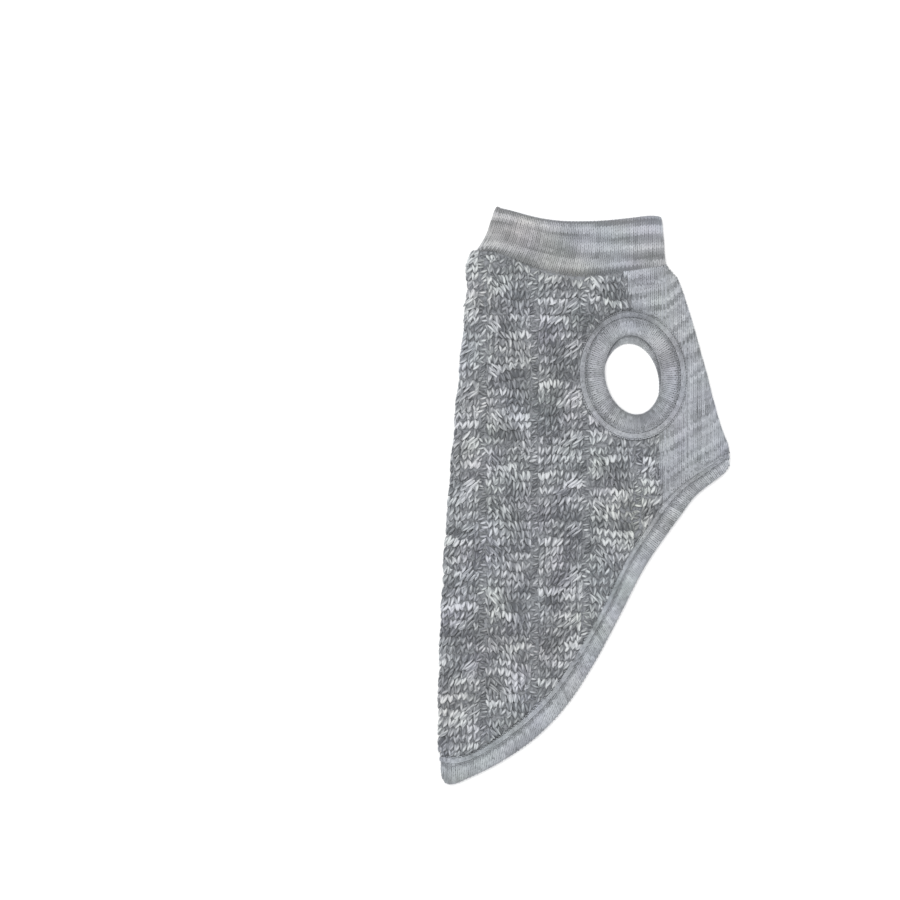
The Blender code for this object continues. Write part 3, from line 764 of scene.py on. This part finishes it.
def shaded_ground_material(kind):
    """The material of the shell seen deep between the stitches: the same yarn, mottled, in its darker plies
    only as painted shade.
    """
    name = kind + " ground"
    if name in bpy.data.materials:
        return bpy.data.materials[name]
    material, shader = new_material(name)
    tree = material.node_tree
    where = node(tree, "ShaderNodeTexCoord")["Object"]
    mottle = node(tree, "ShaderNodeTexNoise", {"Vector": where, "Scale": MOTTLE[kind]})[0]
    bump = node(tree, "ShaderNodeBump", {"Distance": 0.0005, "Height": mottle})[0]
    ramp = tree.nodes.new("ShaderNodeValToRGB")
    # painted shade: only the dark and middle plies
    for stop, position, ply in zip(ramp.color_ramp.elements, (0.25, 0.6), ("dark", "middle")):
        stop.position = position
        stop.color = dye(kind, ply)
    tree.links.new(mottle, ramp.inputs["Fac"])
    tree.links.new(ramp.outputs["Color"], shader.inputs["Base Color"])
    tree.links.new(bump, shader.inputs["Normal"])
    return material


# Pieces

def shell(node_name, share, kind, middle=MIDDLE, hollow=HOLLOW):
    """A thin wall on a node's form, whose outside stands at a share of the solid's height."""
    same, thinnest = 0.001, 0.3
    mesh = bmesh.new()
    mesh.from_mesh(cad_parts[node_name].data)
    bmesh.ops.remove_doubles(mesh, verts=mesh.verts, dist=same * MILLIMETRE)
    for vert in mesh.verts:
        spot = vert.co / MILLIMETRE - SHIFT
        fold = nearest_fold(spot.x, spot.y)
        core = Vector((spot.x, spot.y, middle))
        if fold.inset(spot.x, spot.y) < FOLD_RADIUS:
            core.x = fold.flat_x(spot.y)
        away = spot - core
        height = max(0.0, away.length - hollow / 2)
        if core.x == spot.x and height > thinnest:
            height = max(thinnest, height + creased(spot.x, spot.y, away.z))
        spot = core + away.normalized() * (hollow / 2 + height * share)
        vert.co = (spot + SHIFT) * MILLIMETRE
    data = finished(mesh, node_name + "_shell")
    if "custom_normal" in data.attributes:
        data.attributes.remove(data.attributes["custom_normal"])
    data.shade_smooth()
    data.materials.append(shaded_ground_material(kind))
    return placed(data.name, data)


def rib_piece(base, name, stitches, yarn, flat, **area):
    """The ribs of a piece over its shell."""
    legs = [(-side * radians(6), side * 0.235, (0.56, 2.2, 0.75)) for side in (-1, 1)]
    stitch = stitch_object("rib stitch", legs, 4, 4, 0.05)
    declare(base, name, "rib_knit", [knitted(name + "_ribs", stitches, stitch, yarn)], flat, **area)


def declare(base, node_name, slot, knit, flat, **area):
    """The shell replaces its node, and the stitches go with it under the same parent."""
    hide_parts(node_name)
    for piece in (base, *knit):
        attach(piece, "root")
    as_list(knit)


class Cables:
    """The back's stitches: Vs in rows, bars of the purl ladders, and long strands over the crossings."""

    def __init__(self, sizes):
        self.sizes = sizes
        self.solid = Solid("back_panel")
        self.dice = random.Random(SEED)
        self.layers = {"upper": Stitches(), "lower": Stitches()}
        low, spare = BAND_SEAM[1].y, 5.0
        last = floor((SIDE_JOIN.x - LADDER_X) / CABLE_WIDTH)
        for row in range(ceil((COLLAR_TOP - low) / sizes.cable_row)):
            y = low + (row + 0.5) * sizes.cable_row
            start = SPINE.flat_x(y) - HALF_TURN - (SIDE_JOIN.x + spare - SPINE.flat_x(y))
            for column in range(floor((start - LADDER_X) / CABLE_WIDTH), last + 1):
                self.cable(column, row, y)
                self.ladder(column, row, y)
        for column in range(floor((2 * SPINE.x(0.0) - SIDE_JOIN.x - LADDER_X) / CABLE_WIDTH), last + 1):
            self.strands(column)

    def cloth(self, x, y):
        """The place and the way out on the back, or nothing off it and under the collar."""
        found = self.solid.unfolded(SPINE, x, y)
        return found if found and not under_collar(found[0]) else None

    def tip(self, spot, ahead):
        """Where a leg's tip lies: as far ahead of its middle as the cloth goes."""
        for share in (1.0, 0.8, 0.6, 0.4, 0.2, 0.0):
            found = self.cloth(spot.x + ahead.x * share, spot.y + ahead.y * share)
            if found:
                return found[0]

    def put(self, spot, lift, lean, width, long, shade):
        """One leg on the cloth, from tip to tip on its surface, cut back where it would pass the edge."""
        found = self.cloth(*spot)
        if not found:
            return
        place, out = found
        ahead = Vector((-sin(lean), cos(lean))) * long * TIP_REACH
        head, foot = self.tip(spot, ahead), self.tip(spot, -ahead)
        up = head - foot
        if up.length < SHORTEST:
            return
        place = place * (1 - 2 * LEG_BEND) + (head + foot) * LEG_BEND
        layer = self.layers["lower" if place.z < MIDDLE else "upper"]
        place += out * lift
        thick = self.sizes.cable_yarn * FLAT_YARN
        place.z = max(place.z, LOWEST * thick)
        layer.add(place, facing(up, out) @ Quaternion((1.0, 0.0, 0.0), -TILT),
                  (self.sizes.cable_yarn * width, up.length / (2 * TIP_REACH), thick), shade)

    def turned(self, kind, lean):
        return lean + self.dice.gauss(0.0, kind.turn)

    def strewn(self, kind, x, y):
        return Point(x + self.dice.gauss(0.0, kind.x), y + self.dice.gauss(0.0, kind.y))

    def phase(self, column, y):
        """How far through its repeats a cable is; the next cable is half a repeat on."""
        return y / CABLE_REPEAT + 0.5 * (column % 2)

    def cable(self, column, row, y):
        """One row of one cable: Vs that stand upright, or lean one way where the cable crosses."""
        way, phase = WAYS[column % 2], self.phase(column, y)
        drawn = CABLE_DRAW * sin(2 * pi * phase)
        room = CABLE_WIDTH - 2 * LADDER_HALF
        wales = round(room / self.sizes.cable_width)
        pitch = room / wales
        spread = LEG_SPREAD * self.dice.uniform(*SPREADS)
        for wale in range(wales):
            across = LADDER_HALF + (wale + 0.5) * pitch
            share = across / CABLE_WIDTH if way > 0 else 1 - across / CABLE_WIDTH
            faded = ((phase - share) % 1.0 - 0.5) / CROSSING_SPAN
            crossing = sin(pi * share) ** 0.8 * exp(-faded ** 2)
            x = LADDER_X + column * CABLE_WIDTH + across
            slope = atan(2 * pi / CABLE_WIDTH * drawn * cos(2 * pi * share)) * way
            lean = slope * 0.7 - way * self.sizes.cable_lean * crossing + patchy(LEAN_WANDER, x, y)
            top = y + drawn * sin(2 * pi * share) + patchy(ROW_WANDER, x, y)
            x += patchy(WALE_WANDER, x, y)
            for side in (-1.0, 1.0):
                gain = CROSSING_GAIN * crossing
                turn = self.turned(LEG, lean - side * spread * (1 - CROSSING_SHUT * crossing))
                away = side * pitch * LEG_ASIDE
                width = self.dice.uniform(*LEG_WIDTHS)
                spot = self.strewn(LEG, x + away * cos(lean), top + away * sin(lean))
                # painted light: the right leg of a V paler than the left
                lit = side * LEG_PAINTED_LIGHT * (1 + patchy(LEG_SIDE_LIGHT_PATCH, x, y))
                self.put(spot, LEG.lift + gain, turn, width, self.sizes.cable_row * (LEG_ROWS + gain),
                         heather(column, row, x, y, self.dice) + lit)

    def ladder(self, column, row, y):
        """One row of the purl ladder between two cables: bars that lie across it, more or less."""
        x = LADDER_X + column * CABLE_WIDTH
        for part in (-0.25, 0.25):
            lean = self.turned(BAR, BAR_LEAN + BAR_SWING * sin(2 * pi * self.phase(column, y))) - pi / 2
            long = self.dice.uniform(*BAR_LENGTHS)
            spot = self.strewn(BAR, x, y + part * self.sizes.cable_row)
            # painted shade on the bars, deep in the ladder
            shade = heather(column, row + BAR.rows, x, y, self.dice) - BAR_PAINTED_SHADE
            self.put(spot, BAR.lift, lean, FLAT_YARN, long, shade)

    def strands(self, column):
        """The long strands that a cable's crossing pulls over its neighbours, one group a crossing."""
        way = WAYS[column % 2]
        x = LADDER_X + (column + (STRAND_AT if way > 0 else 1 - STRAND_AT)) * CABLE_WIDTH
        for turn in STRAND_TURNS:
            y = (turn + 0.5 + STRAND_AT - 0.5 * (column % 2)) * CABLE_REPEAT
            for strand in range(-1, 2):
                lean = -way * self.turned(STRAND, STRAND_LEAN)
                aside = strand * self.sizes.cable_yarn
                long = self.dice.uniform(*STRAND_LENGTHS)
                spot = self.strewn(STRAND, x + aside * cos(lean), y + aside * sin(lean))
                # painted highlight on the raised strands
                shade = heather(column, turn + STRAND.rows, x, y, self.dice) + STRAND_HIGHLIGHT
                self.put(spot, STRAND.lift, lean, STRAND_WIDTH, long, shade)


class ChestRibs:
    """The chest's stitches, in ribs from its side seam round the belly."""

    def __init__(self, sizes):
        self.sizes = sizes
        self.solid = Solid("chest_panel")
        self.dice = random.Random(SEED + 1)
        self.stitches = Stitches()
        self.rows = round((NECK_SEAM[-1].y - SIDE_JOIN.y) / sizes.rib_row)
        for number in range(ceil(CHEST_START / sizes.rib_width), CHEST_RIBS):
            for row in range(-SPARE_ROWS, self.rows + SPARE_ROWS + 1):
                self.stitch((number + 0.5) * sizes.rib_width, row)

    def row_y(self, x, share):
        """Rows rise gently towards the belly, and bend to run along the hem near it."""
        low_rise, top_rise, hem_rise, fade = 0.2, 0.14, 0.84, 2.5
        x = min(x, 88.0) - SIDE_JOIN.x
        low = SIDE_JOIN.y + x * low_rise
        high = NECK_SEAM[-2].y + (x + SIDE_JOIN.x - NECK_SEAM[-2].x) * top_rise
        bend = max(0.0, x) * (hem_rise - low_rise)
        return low + (high - low) * share + bend * max(0.0, 1.0 - share) ** fade

    def stitch(self, x, row):
        """One V, which may lie a step past the solid's edge so that the ribs cover the side seam."""
        y = self.row_y(x, (row + 0.5) / self.rows)
        way = 1.0 if x < BELLY.x(y) else -1.0
        for step in ((0.0, 0.0), (SEAM_STEP, 0.0), (0.0, SEAM_STEP)):
            found = self.solid.unfolded(BELLY, x + way * step[0], y + step[1])
            if found:
                break
        else:
            return
        place = found[0] - Vector((*step, 0.0))
        out = outward(place, place).normalized()
        height = (self.row_y(x, 1.0) - self.row_y(x, 0.0)) / self.rows
        fine = 0.12 * sin(2 * pi * (row * height / FINE_PITCH + patchy(CHEST_DRIFT, x, y)))
        shade = space_dyed(x, row * height, 3.0, self.dice, 1.0) + fine + patchy(CHEST_PART, x, y)
        near = exp(-BELLY.inset(place.x, place.y) / 3.0)
        place += out * CORNER_BULGE * near * exp(-((place.y - BAND_SEAM[-1].y) / 5.0) ** 2)
        up = Vector((0.5 * (BELLY.x(y + 1.0) - BELLY.x(y - 1.0)) * near, 1.0, 0.0))
        yarn = self.sizes.rib_yarn
        size = (self.sizes.rib_width, height, yarn)
        self.stitches.add(place - out * yarn * 0.4, facing(up, out), size, shade)


# Bands

class Band:
    """A strip of rib between its seam and its free edge, in both layers and round its folds."""

    def __init__(self, seam, edge, folds, profile, bead=(), bowed=False):
        self.seam, self.edge = Curve(seam), Curve(edge)
        self.folds = folds      # a fold or None at share 0 and at share 1
        self.profile = profile
        self.bead = bead
        self.bowed = bowed
        self.length = (self.seam.length + self.edge.length) / 2

    def straight(self, share, across):
        return self.seam.at(share) * (1 - across) + self.edge.at(share) * across

    def flat_spot(self, share, across):
        """A place on the band. A bowed one follows its folds between its corners."""
        spot = self.straight(share, across)
        if self.bowed:
            for fold, end in zip(self.folds, (0.0, 1.0)):
                corner = self.straight(end, across)
                spot[0] += (fold.x(corner[1]) - corner[0]) * (1 - abs(share - end))
        return spot

    def height(self, layer, across):
        return profiled(self.profile, across, "height") if layer > 0 else LOWER_WALL

    def place(self, station, across):
        """The outside of the band at a station, where across runs from its seam to its edge."""
        layer, share, angle = station
        x, y = self.flat_spot(share, across)
        if angle is None:
            height = self.height(layer, across) + creased(x, y, layer)
            return Vector((x, y, MIDDLE + layer * (HOLLOW / 2 + height)))
        fold = self.folds[round(share)]
        turned = (1 + sin(angle)) / 2
        height = self.height(1, across) * turned + self.height(-1, across) * (1 - turned)
        return Vector((fold.flat_x(y), y, MIDDLE)) + fold.out(angle) * (HOLLOW / 2 + height)

    def stations(self, pitch):
        """Pairs of the stations on each side of every rib, all round the band."""
        bare = FOLD_RADIUS / self.length
        low = bare if self.folds[0] else 0.0
        high = 1 - bare if self.folds[1] else 1.0
        pairs = []
        marks = np.linspace(low, high, round((high - low) * self.length / pitch) + 1)
        for layer in (1, -1):
            pairs += [((layer, a, None), (layer, b, None)) for a, b in zip(marks, marks[1:])]
        angles = np.linspace(pi / 2, -pi / 2, round(HALF_TURN / pitch) + 1)
        for end, fold in enumerate(self.folds):
            if fold:
                pairs += [((0, end, a), (0, end, b)) for a, b in zip(angles, angles[1:])]
        return pairs

    def along(self, station):
        """The distance along the band, for its stripes; the lower layer has its own."""
        layer, share, _ = station
        return share * self.length + (LOWER_STRIPES if layer < 0 else 0.0)


def profiled(profile, across, column):
    """A column of a profile at a share of its width."""
    marks = [row.across for row in profile]
    return float(np.interp(across, marks, [getattr(row, column) for row in profile]))


def rows_across(width, pitch, bead):
    """The rows of a band, from just over its seam to its edge: each one's start, end and length."""
    first = [SEAM_ROW, BEAD_START, *bead] if bead else [-SEAM_COVER * pitch / width]
    count = round((1 - first[-1]) * width / pitch)
    marks = [*first, *np.linspace(first[-1], 1.0, count + 1)[1:]]
    short = {SEAM_ROW, *bead, marks[-2]}
    return [(start, end, TRIM if start in short else 1.0) for start, end in zip(marks, marks[1:])]


def ribbed(stitches, place, sides, rows, thickness, shade, side=None):
    """Adds one rib between its two sides: a V on each row, but three strands along a bead."""
    for start, end, long in rows:
        across = (start + end) / 2
        left, right = place(sides[0], across), place(sides[1], across)
        low, high = (place(sides[0], mark) + place(sides[1], mark) for mark in (start, end))
        up = (high - low) / 2
        out = (right - left).cross(up).normalized()
        if out.dot(side or outward(left, right)) < 0:
            out = -out
        middle = (left + right) / 2
        if start == BEAD_START:
            size = (up.length * BEAD_STRAND, (right - left).length * BEAD_CHAIN, thickness * BEAD_YARN)
            for aside in (-BEAD_SPREAD, 0.0, BEAD_SPREAD):
                sunk = BEAD_SUNK + BEAD_ROUND * abs(aside)
                stitches.add(middle + up * aside - out * size[2] * sunk, facing(right - left, out), size,
                             shade(across))
        else:
            size = ((right - left).length, up.length * long, thickness)
            stitches.add(middle - out * thickness * 0.5, facing(up, out), size, shade(across))


def outward(left, right):
    """Roughly the way out of the cloth between two places on its outside."""
    spot = (left + right) / 2
    fold = nearest_fold(spot.x, spot.y)
    if fold.inset(spot.x, spot.y) < FOLD_RADIUS:
        return spot - Vector((fold.flat_x(spot.y), spot.y, MIDDLE))
    return Vector((0.0, 0.0, spot.z - MIDDLE))


def band_piece(name, band, seed, dyed, yarn, flat):
    """The shell and the stitches of one band, dyed in its own way. No row lies over a bead round a fold."""
    sizes = bpy.context.scene.sweater_stitches
    dice = random.Random(seed)
    stitches = Stitches()
    width = np.mean([hypot(*(band.edge.at(s) - band.seam.at(s))) for s in (0.1, 0.5, 0.9)])
    rows = rows_across(width, sizes.rib_row, band.bead)
    for sides in band.stations(sizes.rib_width):
        way = band.along(sides[0])
        folded = band.bead and sides[0][2] is not None
        # the profile's shade column lays painted shade and painted highlight across the band
        ribbed(stitches, band.place, sides, rows[1:] if folded else rows, sizes.rib_yarn,
               lambda across: (dyed(way, across * width, seed, dice)
                               + profiled(band.profile, across, "shade")))
    rib_piece(shell(name, 0.5, "rib"), name, stitches, yarn, flat)


def ring_piece(name, centre, middle, faces):
    """The shell and the ribs of an armhole band, across each of its faces: a side and its profile."""
    sizes = bpy.context.scene.sweater_stitches
    hollow = HOLLOW if middle == MIDDLE else 0.0
    dice = random.Random(SEED + 4)
    stitches = Stitches()
    mean = (sum(ARMHOLE_OUTER) + sum(ARMHOLE_INNER)) / 4
    width = ARMHOLE_OUTER.x - ARMHOLE_INNER.x
    ribs = round(2 * pi * mean / sizes.rib_width)
    for layer, profile in faces:
        rows = rows_across(width, sizes.rib_row, ARMHOLE_BEAD if profile is ARMHOLE_PROFILE else ())

        def place(turn, across):
            drop = BEAD_DROP * sin(turn) ** 2 * (1 - across) if hollow else 0.0
            x, y = armhole_spot(centre, turn, across + drop)
            return Vector((x, y, middle + layer * (hollow / 2 + profiled(profile, across, "height"))))

        def shade(across):
            base = cross_dyed(sides[0] * mean, across * width, 9.0, dice, 0.7)
            # painted light: paler on one side of the ring, darker on the other
            painted_light_and_dull = RING_PAINTED_LIGHT * (across - RING_EVENLY_LIT_AT) * cos(sides[0] - RING_LIT_AT) - RING_DULL
            # painted shade under the near band, and painted shade and highlight from the profile
            return base + painted_light_and_dull + profiled(profile, across, "shade") - painted_shade_under_edge(place(sides[0], across))

        for rib in range(ribs):
            sides = (2 * pi * rib / ribs, 2 * pi * (rib + 1) / ribs)
            ribbed(stitches, place, sides, rows, sizes.rib_yarn, shade, Vector((0.0, 0.0, layer)))
    base = shell(name, 0.55, "rib", middle, hollow)
    pull_shell(base, centre)
    rib_piece(base, name, stitches, "rib yarn", (0.015, 0.181))


def painted_shade_under_edge(spot):
    """How much painted shade the far band gets under the near one, most at the near one's inner edge."""
    if not LOWER_WALL / 2 < spot.z - 0.1 < MIDDLE:
        return 0.0
    x, y = in_oval(ARMHOLE, spot.x, spot.y)
    inside = (1.0 - hypot(x / ARMHOLE_INNER.x, y / ARMHOLE_INNER.y)) * ARMHOLE_INNER.x
    return FAR_BAND_PAINTED_SHADE + EDGE_PAINTED_SHADOW * max(0.0, 1.0 - inside / EDGE_SHADOW_REACH)


def armhole_spot(centre, turn, across):
    """A place on an armhole band, from its outer edge to its inner one."""
    reach = [outer * (1 - across) + inner * across for outer, inner in zip(ARMHOLE_OUTER, ARMHOLE_INNER)]
    x, y = reach[0] * cos(turn), reach[1] * sin(turn)
    pull = pulled(centre, turn, across)
    return (centre.x + x * cos(ARMHOLE_TILT) - y * sin(ARMHOLE_TILT) + pull.x,
            centre.y + x * sin(ARMHOLE_TILT) + y * cos(ARMHOLE_TILT) + pull.y)


def pulled(centre, turn, across):
    """How far an armhole band is pulled out of its oval."""
    if centre is FAR_ARMHOLE:
        return Point(FAR_PULL.x * across, FAR_PULL.y * across)
    share = across * max(0.0, cos(turn - NEAR_PULL_AT)) ** 2
    return Point(NEAR_PULL.x * share, NEAR_PULL.y * share)


def in_oval(centre, x, y):
    """A place about a centre, turned upright with the armhole bands."""
    x, y = x - centre.x, y - centre.y
    return x * cos(ARMHOLE_TILT) + y * sin(ARMHOLE_TILT), y * cos(ARMHOLE_TILT) - x * sin(ARMHOLE_TILT)


def pull_shell(base, centre):
    """Pulls a band's shell out of its oval as its ribs are pulled."""
    for vert in base.data.vertices:
        x, y = in_oval(centre, *(vert.co / MILLIMETRE - SHIFT).xy)
        turn = atan2(y / ARMHOLE_OUTER.y, x / ARMHOLE_OUTER.x)
        outer, inner = (hypot(wide * cos(turn), tall * sin(turn))
                        for wide, tall in (ARMHOLE_OUTER, ARMHOLE_INNER))
        pull = pulled(centre, turn, clamped((outer - hypot(x, y)) / (outer - inner)))
        vert.co += Vector((pull.x, pull.y, 0.0)) * MILLIMETRE


# Operators

class SWEATER_OT_back_panel(Operator):
    """Cable knit back, wrapped over the spine fold"""
    bl_idname = "sweater.back_panel"
    bl_label = "Back panel"

    def execute(self, context):
        base = shell("back_panel", 0.55, "cable")
        knit = []
        for layer, stitches in Cables(context.scene.sweater_stitches).layers.items():
            leg = stitch_object("cable leg", [(0.0, 0.0, (1, 1, 1))], 5, 6, 0.2)
            knit.append(knitted(f"back_panel_{layer}_stitches", stitches, leg, "cable yarn"))
        declare(base, "back_panel", "cable_knit", knit, (0.275, 0.316), area=0.0560)
        return {"FINISHED"}


class SWEATER_OT_chest_panel(Operator):
    """Fine rib chest, wrapped over the belly fold"""
    bl_idname = "sweater.chest_panel"
    bl_label = "Chest panel"

    def execute(self, context):
        base = shell("chest_panel", 0.82, "rib")
        stitches = ChestRibs(context.scene.sweater_stitches).stitches
        rib_piece(base, "chest_panel", stitches, "rib yarn", (0.130, 0.147), area=0.0084)
        return {"FINISHED"}


class SWEATER_OT_collar(Operator):
    """Doubled rib collar, a tube laid flat"""
    bl_idname = "sweater.collar"
    bl_label = "Collar"

    def execute(self, context):
        band = Band(NECK_PATH, smooth(COLLAR_EDGE), (SPINE, BELLY), COLLAR_PROFILE, bowed=True)
        band_piece("collar", band, SEED + 2, space_dyed, "collar yarn", (0.240, 0.034))
        return {"FINISHED"}


class SWEATER_OT_hem_bands(Operator):
    """Doubled rib bands along the hem of the back and of the chest"""
    bl_idname = "sweater.hem_bands"
    bl_label = "Hem bands"

    def execute(self, context):
        seams = split(smooth(BAND_SEAM), SIDE_JOIN)
        edges = split(smooth(HEM_EDGE), HEM_JOIN)
        cuts = (("hem_band_back", (SPINE, None), 0.454), ("hem_band_chest", (None, BELLY), 0.1))
        for (name, folds, run), seam, edge in zip(cuts, seams, edges):
            band = Band(seam, edge, folds, HEM_PROFILE, HEM_BEAD)
            band_piece(name, band, SEED + 3, cross_dyed, "rib yarn", (0.0125, run))
        return {"FINISHED"}


class SWEATER_OT_armhole_bands(Operator):
    """Doubled rib rings round the two armholes"""
    bl_idname = "sweater.armhole_bands"
    bl_label = "Armhole bands"

    def execute(self, context):
        ring_piece("armhole_band_near", ARMHOLE, MIDDLE, ((1.0, ARMHOLE_PROFILE),))
        ring_piece("armhole_band_far", FAR_ARMHOLE, LOWER_WALL / 2, ((-1.0, FAR_PROFILE), (1.0, FAR_PROFILE)))
        return {"FINISHED"}


class SWEATER_OT_stage(Operator):
    """Pale floor, soft light and a camera that looks straight down"""
    bl_idname = "sweater.stage"
    bl_label = "Stage"

    def execute(self, context):
        stage = context.scene.sweater_stage
        self.floor(stage)
        self.light(context.scene, stage)
        self.camera(context.scene, stage)
        return {"FINISHED"}

    def floor(self, stage):
        material, shader = new_material("floor")
        shader.inputs["Base Color"].default_value = (*stage.floor_colour, 1.0)
        shader.inputs["Sheen Weight"].default_value = 0.0
        bpy.ops.mesh.primitive_plane_add(size=8.0)
        floor = bpy.context.object
        floor.name = "floor"
        floor.data.materials.append(material)

    def light(self, scene, stage):
        world = bpy.data.worlds.new("sky")
        world.use_nodes = True
        sky = world.node_tree.nodes["Background"]
        sky.inputs["Color"].default_value = (1.0, 1.0, 1.0, 1.0)
        sky.inputs["Strength"].default_value = stage.sky
        scene.world = world
        data = bpy.data.lights.new("lamp", "AREA")
        data.energy = stage.lamp
        data.size = 1.5
        lamp = placed("lamp", data)
        lamp.location = LAMP_AT
        lamp.rotation_euler = (-lamp.location).to_track_quat("-Z", "Y").to_euler()
        scene.view_settings.view_transform = "Standard"

    def camera(self, scene, stage):
        data = bpy.data.cameras.new("camera")
        data.lens = data.sensor_width * stage.view_height / stage.view_width
        data.clip_end = 100.0
        scene.camera = placed("camera", data)
        scene.camera.location = (Vector((*CAMERA_AT, stage.view_height)) + SHIFT) * MILLIMETRE


class SWEATER_PT_panel(Panel):
    """Lists the pieces of the sweater"""
    bl_label = "Sweater"
    bl_idname = "SWEATER_PT_panel"
    bl_space_type = "VIEW_3D"
    bl_region_type = "UI"
    bl_category = "Sweater"

    def draw(self, context):
        for operator in OPERATORS:
            self.layout.operator(operator.bl_idname)
        for settings in SETTINGS:
            group = getattr(context.scene, settings)
            for name in group.__annotations__:
                self.layout.prop(group, name)


OPERATORS = (SWEATER_OT_stage, SWEATER_OT_back_panel, SWEATER_OT_chest_panel, SWEATER_OT_collar,
             SWEATER_OT_hem_bands, SWEATER_OT_armhole_bands)
SETTINGS = {"sweater_stitches": StitchSettings, "sweater_yarn": YarnSettings, "sweater_stage": StageSettings}
CLASSES = (*SETTINGS.values(), *OPERATORS, SWEATER_PT_panel)


def register():
    for kind in CLASSES:
        bpy.utils.register_class(kind)
    for name, kind in SETTINGS.items():
        setattr(bpy.types.Scene, name, PointerProperty(type=kind))


def unregister():
    for name in SETTINGS:
        delattr(bpy.types.Scene, name)
    for kind in reversed(CLASSES):
        bpy.utils.unregister_class(kind)


def main():
    register()
    for operator in OPERATORS:
        group, name = operator.bl_idname.split(".")
        result = getattr(getattr(bpy.ops, group), name)()
        if result != {"FINISHED"}:
            raise RuntimeError(f"{operator.bl_label} did not finish")


if __name__ == "__main__":
    main()
